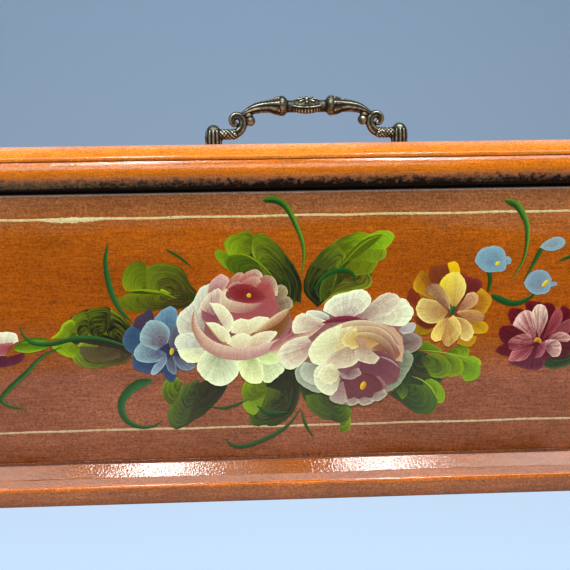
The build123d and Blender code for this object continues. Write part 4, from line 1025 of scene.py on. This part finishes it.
rose_left.paint((
    ((-50, 66), (-47.4, 86.4, -51, 84.4, -54.6, 78.4, -58.8, 75.4, -60.6, 71.4, -59.6, 66.6, -56, 63.6),
     "#8c6462", "#dee0b8", "full"),
    ((-46, 73), (-52, 75, -50, 79.8, -47, 82.8, -44.2, 84.4, -42.6, 83.8, -42.4, 82, -43, 78), "#96605f",
     "#eadcaf", "rim"),
    ((-46.4, 74), (-50.6, 76, -50.4, 72, -47.6, 69.6, -43.6, 69.6, -43, 72), "#7c3a3f", "#9c645f", "rim"),
    ((-42.6, 70), (-47.4, 78.8, -43, 78.2, -39.6, 75, -37.9, 71.4, -38.6, 68, -41.4, 65.6), "#c0a284", cream,
     "full"),
    ((-47.6, 61.6), (-52, 66.6, -57, 67, -60.6, 65.6, -61.6, 63, -60.4, 60.4, -56, 59, -50, 59), "#8a7a76",
     "#e2e4bb", "full"),
    ((-47.6, 61.2), (-60.6, 60.2, -59.4, 57, -56.4, 54.9, -53, 54.8, -50.4, 56.4, -48.6, 59), "#b4ae86",
     "#f0f0b3", "full"),
    ((-44, 57.6), (-49.6, 59.4, -52, 56, -53.1, 52.4, -50.8, 48.7, -46.8, 45.7, -43.2, 45, -39.6, 46.6,
     -36.4, 50, -36.4, 55), "#8c9068", "#eaedb6", "full"),
    ((-25.6, 58), (-29, 54, -27, 47.4, -25.6, 45.9, -23.6, 46, -20, 48.9, -17.8, 51.3, -19.4, 54), "#8f9c60",
     "#e4e8aa", "full"),
    ((-28, 59.6), (-30, 55.6, -26.6, 53.6, -23.2, 53.2, -19.8, 54.6, -19.2, 58.4), "#98ac51", "#e0e8a0",
     "full"),
    ((-31, 57.4), (-37, 55, -36.4, 51.6, -34.8, 48, -31.6, 45.7, -28.2, 45.6, -26.4, 48, -26.8, 53),
     "#96a05e", "#f2f2a9", "full"),
))
rose_left.paint((
    ((-37, 64), (-50, 72, -46, 66, -40, 61, -32, 60.6, -24, 64, -18, 72, -26, 70), "#8e5630", "#b0804f",
     "rim"),
    ((-22, 66), (-29, 66, -22, 71.4, -16, 75.6, -15.4, 72, -17.6, 67, -21, 64), "#74421c", "#8c5a34", "rim"),
    ((-33, 65), (-39, 66.6, -38.4, 70.6, -35, 72.2, -32, 71.6, -29.3, 72.6, -26.4, 72.9, -23.8, 71.8,
     -26, 68.6), "#c6a87c", cream, "full"),
    ((-31, 59.6), (-36, 60.4, -32.5, 63.9, -28.3, 66.2, -24, 66.9, -20.6, 66.2, -24, 62), "#b88c67",
     "#ece2af", "full"),
    ((-36, 59.4), (-41, 62.4, -39, 64.8, -35.5, 66.3, -32.2, 65.8, -30.6, 64), "#c0a47a", cream, "full"),
    ((-43, 63), (-49, 70.8, -45.4, 70.8, -42, 68.8, -39.6, 66, -39.4, 62.6), "#c4aa7c", cream, "full"),
))
rose_left.stroke([(-29.6, 66.4), (-24, 69.6), (-19, 73), (-15.6, 75.8)], 3.4, "#a06a41", "#dcc08d",
                 load="edge", rows=30)
rose_left.stroke([(-53.6, 76), (-53.4, 69.6), (-50.4, 64), (-46, 60.4), (-40, 58.4), (-33, 58),
                  (-26.4, 59.4), (-20, 62.2), (-12, 65.6)], 5.4, ("#a87055", "#b4837a"),
                 ("#dcbc90", "#d8b49c"), load="edge", rows=60)
rose_left.stroke([(-32.4, 80.9), (-30.9, 81.9)], 1.7, "#b08818", "#e0c23c", shape="oval")
rose_left.dry("painted_rose_left", petal_paint)


# Right rose: a cup that hangs over, so that its opening looks down, under wide white petals, with
# cream shells one in another at its left and ochre in its crown.

rose_right = PaintLayer(lift=0.42, seed=141, fanned=True)
rose_right.paint((
    ((9, 56), (-17, 60, -12, 72, 1, 76, 18, 77, 31, 68, 33, 54, 24, 42, 8, 39, -6, 45, -17, 60), "#6a3a3a",
     "#98645c", "full"),
))
rose_right.stroke([(-2, 69.2), (-10, 65.6), (-20, 60.6), (-24, 58.6)], 5.4, "#985453", "#dcb890",
                  load="edge", rows=30)
rose_right.paint((
    ((26, 60), (30, 65.6, 34, 65, 37.8, 62.2, 36.4, 58.4, 32, 56), "#5a3a3c", "#9c8a73", "rim"),
    ((28, 66), (31, 69, 34.8, 68.6, 34.2, 65.4, 30, 64.4), "#8c7872", "#c4bca9", "full"),
    ((20, 53), (32, 58, 34, 55, 33.4, 51.6, 31.4, 47.8, 28.1, 43.2, 24.2, 41, 20, 41), "#483c2c", "#949c78",
     "rim"),
    ((-5, 53), (-11, 54, -13.8, 50, -12.4, 45.8, -8.6, 42.8, -4.6, 41.2, -1, 42), "#6c685c", "#b0b490",
     "rim"),
    ((-5, 53), (-10, 54, -12, 50.4, -10.4, 46.8, -7, 44.6, -3, 44), "#807a67", "#bcc09b", "full"),
    ((-6, 61), (-9, 64.6, -14, 63.6, -18.6, 61, -20.6, 57.6, -19.6, 54, -16.4, 51, -12.2, 52.4, -9, 55.4),
     "#9c5a5a", "#e8e2b3", "full"),
    ((-3, 68), (-0.6, 70.4, -6, 72.6, -10.4, 73.7, -13.2, 72.2, -14.5, 69.4, -14, 65.8, -9.6, 66), "#a06e6a",
     "#eae2b1", "full"),
    ((0.6, 70.6), (-9.6, 73.3, -7.6, 74.8, -3.4, 74.5, 0, 72.8), "#846870", "#e8eebd", "full"),
    ((15, 70.4), (26, 79, 29.2, 78.9, 31.8, 77.8, 34, 73.9, 33.2, 70.6, 30.2, 67.8, 25, 68), "#a88c75",
     "#eceeba", "full"),
    ((10, 70.4), (14, 74.6, 18, 78, 21.2, 80.4, 24.6, 81.3, 28, 79.8, 28.6, 77, 24, 72), "#7c3a43",
     "#e0d4ac", "full"),
    ((6.4, 70), (-2.2, 74.6, -1, 77.6, 2.2, 80.4, 6.9, 81.7, 11.7, 82.9, 15, 82.3, 16.7, 80.2, 16.9, 77.6,
     14, 74), "#946c6c", "#f0f2c1", "full"),
))
rose_right.stroke([(-3, 69.6), (3, 71), (9, 71.2), (14, 70.6)], 2.4, "#64202c", "#84303c", rows=24)
rose_right.paint((
    ((12, 57), (-7.6, 55, -8, 59, -6, 62.8, -2, 66.4, 4.4, 69.1, 11.5, 70, 19.5, 69.4, 25.4, 67.4, 29, 64,
     30.3, 59, 29.6, 53), "#a87c56", "#c49a75", "full"),
    ((16, 62), (6, 66, 12, 68.6, 19, 68, 24, 65, 26.6, 61, 22, 58.8, 14, 58.4), "#ae7f44", "#c8a060",
     "full"),
    ((23, 57), (17, 58.8, 22, 61.6, 26, 61, 28.8, 56.6, 27, 54), "#784434", "#946044", "full"),
))
for points, width, deep, pale in (
        ([(1, 67.4), (9, 69.2), (17, 68.6), (24, 65.4), (28.6, 59.6)], 2.8, ("#c8a878", "#8c5a50"),
         ("#ecdcaa", "#b88c7c")),
        ([(3, 65.2), (11, 66.8), (18, 66), (24, 62.6), (27.6, 57)], 3.0, ("#bc9458", "#7c4640"),
         ("#e8d098", "#a07064")),
        ([(6, 62.8), (13, 64.4), (19, 63.2), (24, 59.6), (26.4, 55)], 3.0, ("#b48a4c", "#70403c"),
         ("#e2c68a", "#8e5e54"))):
    rose_right.stroke(points, width, deep, pale, load="edge", rows=36)
rose_right.paint((
    ((10.4, 62.6), (11, 67.4, 6, 66.2, 3, 63.2, 3.4, 60, 6.4, 58.7, 11, 59), "#c09c53", "#e6dc9b", "rim"),
    ((8.4, 62.4), (9.6, 68.2, 4.4, 67, 0.6, 63.6, -1, 60.2, 0.4, 57.5, 4, 57), "#c0a262", "#ece6aa", "rim"),
    ((3.4, 61), (5.4, 69, -1.2, 66.5, -5.8, 62.7, -8.2, 58.6, -7.4, 54.4, -4.4, 52.5, -0.6, 53), "#c2b27c",
     "#eaebb3", "full"),
    ((10.4, 62.6), (11.8, 67, 7.4, 65.6, 5.4, 63, 6, 60.6, 9, 59.4, 12, 59.4), "#c09a4c", "#e2d28a", "rim"),
))
rose_right.stroke([(12, 68), (19.4, 67.2), (24.2, 64.3), (26.8, 60.8)], 0.7, "#c89867", "#e6c48a", rows=30)
rose_right.paint((
    ((14, 55), (0, 52, 4, 57, 12, 58, 22, 57.4, 28.4, 51.6, 27, 45, 20, 44, 8, 45), "#64303a", "#7c4848",
     "rim"),
    ((15, 60), (20.6, 55, 18.4, 52.6, 14.6, 53.1, 11.6, 54.4, 10, 58), "#9c7c5f", "#dccaa2", "rim"),
    ((8, 60), (12.2, 54.4, 9.6, 52, 5, 51, 1.6, 51.2, -1.6, 53.4, 0, 57), "#a88869", "#e8d8ac", "rim"),
    ((11, 45), (-1, 43.6, 1, 38.6, 4.2, 36.4, 8, 36, 11, 36.6, 14.6, 35.9, 18.6, 37.2, 22.8, 39.8, 23, 44,
     20, 47.6), "#66343a", "#94685f", "rim"),
    ((11, 42), (3, 41, 4, 45.4, 8, 48, 13, 49, 18.6, 47.4, 21.4, 43.4, 19, 39.6, 11, 37.8, 5, 38.6, 3, 41),
     ("#6a3436", "#6a3438"), "#5a2028", "thin"),
    ((7, 50), (4, 49, 5.8, 46.9, 9.4, 46.4, 11.4, 47.5, 13, 48.5, 12, 51), "#704246", "#b49c8a", "rim"),
    ((5.6, 46), (1.2, 43, 0, 39, 2, 37, 5.6, 36.4, 7.4, 38), "#8a625c", "#b8a88d", "rim"),
    ((10, 39), (6.4, 37.6, 8.2, 35.6, 11.2, 36.2, 12, 38), "#86685f", "#c8bc99", "rim"),
    ((14, 39), (11, 37.6, 13.4, 35.5, 17, 36.2, 18.4, 38), "#86685f", "#ccc09b", "rim"),
    ((18, 40.4), (17, 37.4, 20, 37.2, 23.4, 39.6, 22.6, 42), "#7c5c53", "#c4b894", "rim"),
    ((4.6, 47), (-1, 53.6, -4.6, 52.2, -6.2, 48.9, -5.8, 44.8, -3.2, 41.4, 0.6, 40, 3, 42), "#a08c72",
     "#eae6b5", "full"),
    ((4.6, 49), (1.4, 53, -2.6, 52, -4.4, 48.8, -3, 45.8, 0.4, 44.6, 3, 46), "#b09c75", "#eee8af", "full"),
))
rose_right.stroke([(20.4, 55.6), (25, 53.6), (28.6, 50.6)], 0.8, "#8c605e", "#b89684", rows=24)
rose_right.stroke([(13, 42), (14.5, 45.4)], 2.2, "#b87c0c", "#eebe24", shape="oval")
rose_right.dry("painted_rose_right", petal_paint)


# Nails: headless steel brads, driven and set below the surface at the corners, in the moulding and
# through the lid board, so they show only where the wood is cut.

def drawn_metal(name, tone, dark, roughness, grit):
    """Metal that was drawn or rolled and has dulled: fine scratches over a slow stain."""
    made, tree = new_material(name)
    place = add(tree, "ShaderNodeTexCoord").outputs["Object"]
    share = spread(tree, even_noise(tree, place, 4, 4.0), 0.38, 0.66)
    tint = add(tree, "ShaderNodeValToRGB", {"Fac": share}, ramp=[(0.0, dark), (1.0, tone)])
    scratch = even_noise(tree, place, grit, 2.0)
    rough = spread(tree, scratch, 0.3, 0.7, roughness - 0.08, roughness + 0.12)
    return surfaced(made, {
        "Base Color": tint, "Metallic": 1.0, "Roughness": rough,
        "Normal": bumps(tree, scratch, 0.2, 0.02)})


brad_steel = drawn_metal("bright drawn steel wire", "#a8a8a4", "#6c6660", 0.35, 0.5)
for node in ("corner_brads", "moulding_brads", "lid_brads"):
    coat(node, brad_steel)


# Hinges: two small butt hinges of pressed brass on the back, each with two leaves, a turned pin and
# four slotted countersunk screws.

hinge_brass = drawn_metal("pressed brass, dulled", "#b98f3e", "#7c5a22", 0.34, 0.4)
screw_brass = drawn_metal("turned brass screw", "#c29a4c", "#8a6a2c", 0.28, 0.3)
for side in ("left", "right"):
    coat(f"hinge_{side}_box_leaf", hinge_brass)
    coat(f"hinge_{side}_lid_leaf", hinge_brass)
    coat(f"hinge_{side}_pin", screw_brass)
for node in ("hinge_box_screws", "hinge_lid_screws"):
    coat(node, screw_brass)


# Handle: a bow cast in brass and darkened, on two ribbed feet, with a scroll under each arm and a
# flower on an oval boss at the middle. Machine screws and washers hold it from inside the lid.

handle_spacing = 96.0
arm_reach = handle_spacing / 2
handle_y = (lid_front + half_depth) / 2
# The bow's middle line lies this high above the lid, and the oval boss on it leans to the front
bow = 22.4
boss_lean = math.radians(32)
boss_long, boss_short, boss_high = 8.8, 4.6, 4.0
foot_radius, foot_top = 3.75, 9.4


def tube(path, radii, segments=28, twist=None):
    """A tube along a path in the bow's plane; radii are (across, in the plane) at each point.

    twist is (ridges, depth, turns per mm) for ridges that run along it or wind round it."""
    path = np.array(path, float)
    run = np.gradient(path, axis=0)
    run /= np.linalg.norm(run, axis=1)[:, None]
    distance = np.concatenate([[0], np.linalg.norm(np.diff(path, axis=0), axis=1).cumsum()])
    points = []
    for i, (x, z) in enumerate(path):
        up = (-run[i, 1], run[i, 0])
        for k in range(segments):
            angle = 2 * math.pi * k / segments
            swell = 1.0
            if twist:
                ridges, depth, turns = twist
                swell += depth * math.cos(ridges * (angle + 2 * math.pi * turns * distance[i]))
            side = math.cos(angle) * radii[i][0] * swell
            rise = math.sin(angle) * radii[i][1] * swell
            points.append((x + up[0] * rise, side, z + up[1] * rise))
    return points, closed_faces(len(path), segments)


def swept(stations, count=40):
    """Even steps along a smooth line through stations of (x, z, across, in the plane)."""
    fine = brush_path(stations, count)
    return fine[:, :2], fine[:, 2:]


def turned(profile, segments=40):
    """A turned form on the Z axis: profile is (radius, height)."""
    points = []
    for radius, high in profile:
        for k in range(segments):
            angle = 2 * math.pi * k / segments
            points.append((radius * math.cos(angle), radius * math.sin(angle), high))
    return points, closed_faces(len(profile), segments)


def pod(centre, half_sizes, rings=14):
    """An egg-shaped lump."""
    profile = [(max(0.02, math.sin(t)), -math.cos(t)) for t in np.linspace(0, math.pi, rings)]
    points, faces = turned(profile, 24)
    return [tuple(c + p * h for c, p, h in zip(centre, point, half_sizes)) for point in points], faces


def shifted(form, dx):
    return [(x + dx, y, z) for x, y, z in form[0]], form[1]


def evaluated_mesh(holder):
    """The mesh that an object's modifiers make of it."""
    seen = holder.evaluated_get(bpy.context.evaluated_depsgraph_get())
    return bpy.data.meshes.new_from_object(seen)


def form_of(mesh):
    """A mesh as its points and faces."""
    return [tuple(v.co) for v in mesh.vertices], [tuple(p.vertices) for p in mesh.polygons]


def scroll_line(steps=12):
    """The lower arm's line: level out of the foot, then four quarter turns of falling radius."""
    x, z = arm_reach - 9.2, 8.3
    line = [(arm_reach - 2.0 - 7.2 * t, z) for t in np.linspace(0, 1, 8, endpoint=False)]
    for turn, radius in enumerate((6.1, 3.4, 2.3, 2.1)):
        start = math.radians(270 - 90 * turn)
        hub = (x - radius * math.cos(start), z - radius * math.sin(start))
        for t in np.radians(np.linspace(0, 90, steps, endpoint=False)):
            line.append((hub[0] + radius * math.cos(start - t), hub[1] + radius * math.sin(start - t)))
        x = hub[0] + radius * math.cos(start - math.pi / 2)
        z = hub[1] + radius * math.sin(start - math.pi / 2)
    return line


def ring_of_lumps(name, count, radius_x, radius_y, height, lump, tall):
    """Geometry nodes that set lumps round an oval: beads on the boss, ribs round a foot.

    The sizes are named inputs, and the tree ends in plain geometry with its material set."""
    tree = bpy.data.node_groups.new("ring of lumps", "GeometryNodeTree")
    sizes = (("Count", "NodeSocketInt", count), ("Radius X", "NodeSocketFloat", radius_x),
             ("Radius Y", "NodeSocketFloat", radius_y), ("Height", "NodeSocketFloat", height),
             ("Lump", "NodeSocketFloat", lump), ("Tall", "NodeSocketFloat", tall))
    for label, kind, _ in sizes:
        tree.interface.new_socket(label, in_out="INPUT", socket_type=kind)
    tree.interface.new_socket("Geometry", in_out="OUTPUT", socket_type="NodeSocketGeometry")
    given = tree.nodes.new("NodeGroupInput").outputs
    circle = add(tree, "GeometryNodeMeshCircle", {"Vertices": given["Count"], "Radius": 1.0})
    reach = add(tree, "ShaderNodeCombineXYZ", {
        "X": given["Radius X"], "Y": given["Radius Y"], "Z": 1.0})
    lifted = add(tree, "ShaderNodeCombineXYZ", {"Z": given["Height"]})
    oval = add(tree, "GeometryNodeTransform", {
        "Geometry": circle, "Scale": reach, "Translation": lifted})
    bead = add(tree, "GeometryNodeMeshUVSphere", {"Segments": 12, "Rings": 8, "Radius": given["Lump"]})
    stretch = add(tree, "ShaderNodeCombineXYZ", {"X": 1.0, "Y": 1.0, "Z": given["Tall"]})
    long_bead = add(tree, "GeometryNodeTransform", {"Geometry": bead, "Scale": stretch})
    placed = add(tree, "GeometryNodeInstanceOnPoints", {"Points": oval, "Instance": long_bead})
    real = add(tree, "GeometryNodeRealizeInstances", {"Geometry": placed})
    finished = add(tree, "GeometryNodeSetMaterial", {"Geometry": real, "Material": antique_brass})
    add(tree, "NodeGroupOutput", {"Geometry": finished})
    holder = in_scene(name, bpy.data.meshes.new(name))
    made = holder.modifiers.new("ring", "NODES")
    made.node_group = tree
    keys = {s.name: s.identifier for s in tree.interface.items_tree if s.in_out == "INPUT"}
    for label, _, value in sizes:
        made[keys[label]] = value
    mesh = evaluated_mesh(holder)
    form = form_of(mesh)
    bpy.data.objects.remove(holder)
    bpy.data.meshes.remove(mesh)
    return form


def cast_brass():
    """Cast brass, darkened with liver of sulphur and rubbed back: black-brown hollows, dull gold crests."""
    made, tree = new_material("cast brass, darkened and rubbed back")
    place = add(tree, "ShaderNodeTexCoord").outputs["Object"]
    crest = add(tree, "ShaderNodeAttribute", attribute_name="crest").outputs["Fac"]
    nudge = spread(tree, even_noise(tree, place, 2.4, 4.0), 0.3, 0.7, -0.22, 0.22)
    rubbed = reckon(tree, "ADD", crest, nudge, use_clamp=True)
    tint = add(tree, "ShaderNodeValToRGB", {"Fac": rubbed}, ramp=[
        (0.0, "#0c0e0e"), (0.44, "#272822"), (0.70, "#57594a"), (1.0, "#aeae98")])
    return surfaced(made, {
        "Base Color": tint, "Metallic": spread(tree, rubbed, 0.0, 1.0, 0.55, 1.0),
        "Roughness": spread(tree, rubbed, 0.0, 1.0, 0.62, 0.34),
        "Normal": bumps(tree, even_noise(tree, place, 0.5, 3.0), 0.35, 0.05)})


antique_brass = cast_brass()

foot_profile = [(0.05, 0), (5.2, 0), (5.2, 0.9), (4.9, 1.2), (4.1, 1.8), (foot_radius, 2.4),
                (foot_radius, foot_top)]
foot_profile += [(foot_radius * math.cos(t), foot_top + 3.9 * math.sin(t))
                 for t in np.linspace(0, 1.5, 8)[1:]]
upper_stations = [
    (34.2, 17.2, 1.5, 1.1), (31.4, 19.0, 2.1, 1.6), (28.4, 20.5, 2.6, 2.2), (25.2, 21.5, 3.0, 2.7),
    (22.0, 22.1, 3.3, 3.0), (18.7, bow, 3.7, 3.5), (15.8, bow, 4.5, 4.5), (14.0, bow, 4.9, 4.9),
]
line = scroll_line()
scroll_radii = [(2.45 - 0.8 * t, 2.4 - 0.75 * t) for t in np.linspace(0, 1, len(line))]
arm_path, arm_radii = swept(upper_stations, 42)

forms = []
for sign in (1, -1):
    half = [
        shifted(turned(foot_profile), arm_reach),
        shifted(ring_of_lumps("foot ribs", 12, 3.72, 3.72, 6.2, 0.72, 5.9), arm_reach),
        shifted(ring_of_lumps("foot collar", 18, 4.35, 4.35, 1.5, 0.6, 0.8), arm_reach),
        tube(line[:12], [(2.75, 2.6)] * 12, twist=(7, 0.13, 0.075)),
        tube(line, scroll_radii, twist=(5, 0.07, 0.0)),
        pod((line[-1][0], 0, line[-1][1]), (1.3, 1.7, 1.3)),
        pod((29.0, 0, 15.0), (2.65,) * 3),
        pod((29.9, 0, 18.0), (2.4, 2.4, 1.8)),
        tube(arm_path, arm_radii, segments=40, twist=(8, 0.075, 0.004)),
        pod((12.6, 0, bow), (3.3, 5.2, 5.2)),
    ]
    for points, faces in half:
        if sign < 0:
            points = [(-x, y, z) for x, y, z in points]
            faces = [tuple(reversed(face)) for face in faces]
        forms.append((points, faces))


def leaned(form):
    """Turns a form about the bow's line, so that its top looks up and to the front."""
    cos, sin = math.cos(boss_lean), math.sin(boss_lean)
    points = [(x, y * cos - (z - bow) * sin, bow + y * sin + (z - bow) * cos) for x, y, z in form[0]]
    return points, form[1]


forms += [
    tube([(x, bow - 0.3) for x in np.linspace(-12, 12, 12)], [(3.1, 3.1)] * 12),
    leaned(pod((0, 0, bow), (boss_long, boss_short, boss_high))),
    leaned(ring_of_lumps("boss beads", 34, 8.7, 4.6, bow - 0.6, 0.55, 2.2)),
    leaned(ring_of_lumps("boss rim", 64, 8.5, 4.4, bow + 1.5, 0.42, 0.8)),
]
for k in range(8):
    cos, sin = math.cos(math.radians(45 * k)), math.sin(math.radians(45 * k))
    x, y = 3.4 * cos, 1.9 * sin
    rise = bow + boss_high * math.sqrt(1 - (x / boss_long) ** 2 - (y / boss_short) ** 2)
    petal_points, petal_faces = pod((0, 0, 0), (2.1, 0.66, 0.62))
    petal_points = [(px * cos - py * sin + x, (px * sin + py * cos) * 0.8 + y, pz + rise)
                    for px, py, pz in petal_points]
    forms.append(leaned((petal_points, petal_faces)))
forms.append(leaned(pod((0, 0, bow + boss_high + 0.1), (1.1, 0.9, 0.7))))

points, faces = [], []
for form_points, form_faces in forms:
    start = len(points)
    points += [(x, y + handle_y, z + lid_top) for x, y, z in form_points]
    faces += [tuple(i + start for i in face) for face in form_faces]


def fused(points, faces, voxel):
    """The overlapping forms as one cast skin, its mesh about as fine as the voxel size in mm."""
    mesh = bpy.data.meshes.new("rough casting")
    mesh.from_pydata(points, [], faces)
    rough = in_scene("rough casting", mesh)
    remesh = rough.modifiers.new("fuse", "REMESH")
    remesh.mode = "VOXEL"
    remesh.voxel_size = voxel
    soften = rough.modifiers.new("soften", "SMOOTH")
    soften.factor = 0.5
    soften.iterations = 2
    cast = evaluated_mesh(rough)
    edges = np.array([tuple(e.vertices) for e in cast.edges])
    normals = np.array([tuple(v.normal) for v in cast.vertices])
    bpy.data.objects.remove(rough)
    return *form_of(cast), edges, normals


def crests(points, edges, normals, rounds=3):
    """How far each point stands proud of its neighbours, from 0 in a hollow to 1 on a crest."""
    points = np.array(points)
    count = np.bincount(edges.ravel(), minlength=len(points)).astype(float)
    around = np.zeros_like(points)
    np.add.at(around, edges[:, 0], points[edges[:, 1]])
    np.add.at(around, edges[:, 1], points[edges[:, 0]])
    proud = ((points - around / count[:, None]) * normals).sum(axis=1)
    for _ in range(rounds):
        total = proud.copy()
        np.add.at(total, edges[:, 0], proud[edges[:, 1]])
        np.add.at(total, edges[:, 1], proud[edges[:, 0]])
        proud = total / (count + 1)
    return np.clip(0.45 + proud / (3.2 * proud.std()), 0, 1)


cast_voxel = 0.27
cast_points, cast_faces, cast_edges, cast_normals = fused(points, faces, cast_voxel)
bow_handle = mesh_piece("bow_handle", cast_points, cast_faces, "lid", ["handle"],
                        [antique_brass], crease=180)
crest = bow_handle.data.attributes.new("crest", "FLOAT", "POINT")
crest.data.foreach_set("value", crests(cast_points, cast_edges, cast_normals).astype(np.float32))

screw_steel = drawn_metal("zinc-plated steel screw", "#b9bab8", "#83837f", 0.3, 0.35)
coat("handle_screws", screw_steel)
coat("handle_washers", screw_steel)


# Studio: a pale floor that curves up behind, soft lamps overhead with gaps between them, two brighter
# strips whose glow lies on the rounded edges, and a wide fill high in front.

def studio_cloth():
    return surfaced(new_material("pale backdrop paper")[0], {
        "Base Color": colour("#a4bbd3"), "Roughness": 0.95, "Specular IOR Level": 0.1})


sweep_side, sweep_back, sweep_front, sweep_radius = 2.5, 1.6, 2.0, 0.5
profile = [(-sweep_front, 0.0), (sweep_back - sweep_radius, 0.0)]
profile += [(sweep_back - sweep_radius * (1 - math.sin(t)), sweep_radius * (1 - math.cos(t)))
            for t in np.linspace(0, math.pi / 2, 16)[1:]]
profile.append((sweep_back, 2.6))
paper = bpy.data.meshes.new("backdrop")
paper.from_pydata([(x, y, z) for y, z in profile for x in (-sweep_side, sweep_side)], [],
                  [(2 * i, 2 * i + 1, 2 * i + 3, 2 * i + 2) for i in range(len(profile) - 1)])
paper.polygons.foreach_set("use_smooth", [True] * len(paper.polygons))
paper.materials.append(studio_cloth())
backdrop = in_scene("backdrop", paper)

for name, place, aim, size, watts in (
        ("overhead lamp, middle", (-0.11, -0.62, 1.45), (-0.05, -0.1, 0.1), (0.14, 0.4), 0.45),
        ("overhead lamp, left", (-0.68, -0.62, 1.45), (-0.3, -0.1, 0.1), (0.6, 0.4), 3.8),
        ("overhead lamp, right", (0.68, -0.62, 1.45), (0.3, -0.1, 0.1), (0.6, 0.4), 5.2),
        ("ceiling lamp", (0.0, -0.21, 1.5), (0.0, -0.21, 0.0), (2.2, 0.18), 5.6),
        ("left strip lamp", (-0.225, -0.6, 1.26), (-0.05, -0.12, 0.1), (0.05, 0.4), 5.5),
        ("right strip lamp", (0.235, -0.6, 1.26), (0.05, -0.12, 0.1), (0.04, 0.4), 5.2),
        ("front fill", (-0.4, -1.25, 1.2), (0.0, 0.0, 0.1), (1.6, 0.5), 12)):
    lamp = bpy.data.lights.new(name, "AREA")
    lamp.shape = "RECTANGLE"
    lamp.size, lamp.size_y = size
    lamp.energy = watts
    stand = in_scene(name, lamp)
    stand.location = place
    stand.rotation_euler = (Vector(aim) - Vector(place)).to_track_quat("-Z", "Y").to_euler()

world = bpy.data.worlds.new("studio")
world.use_nodes = True
world.node_tree.nodes["Background"].inputs["Color"].default_value = colour("#ececec")
world.node_tree.nodes["Background"].inputs["Strength"].default_value = 0.32
bpy.context.scene.world = world

# Camera: where the photograph was taken from, close in front and a little below the lid's top
lens_pixels, frame_pixels, sensor_width = 900, 570, 36.0
yaw, pitch, roll = (math.radians(a) for a in (2.39, 7.2, 0.88))
camera_place = Vector((-0.03205, -0.4727, 0.1301))
forward = Vector((math.sin(yaw) * math.cos(pitch), math.cos(yaw) * math.cos(pitch), -math.sin(pitch)))
level = Vector((math.cos(yaw), -math.sin(yaw), 0.0))
upright = level.cross(forward)
right = level * math.cos(roll) - upright * math.sin(roll)
up = level * math.sin(roll) + upright * math.cos(roll)
lens = bpy.data.cameras.new("camera")
lens.sensor_width = sensor_width
lens.lens = lens_pixels / frame_pixels * sensor_width
lens.clip_start = 0.01
camera = in_scene("camera", lens)
camera.matrix_world = Matrix.Translation(camera_place) @ Matrix((right, up, -forward)).transposed().to_4x4()
bpy.context.scene.camera = camera
bpy.context.scene.view_settings.view_transform = "Standard"
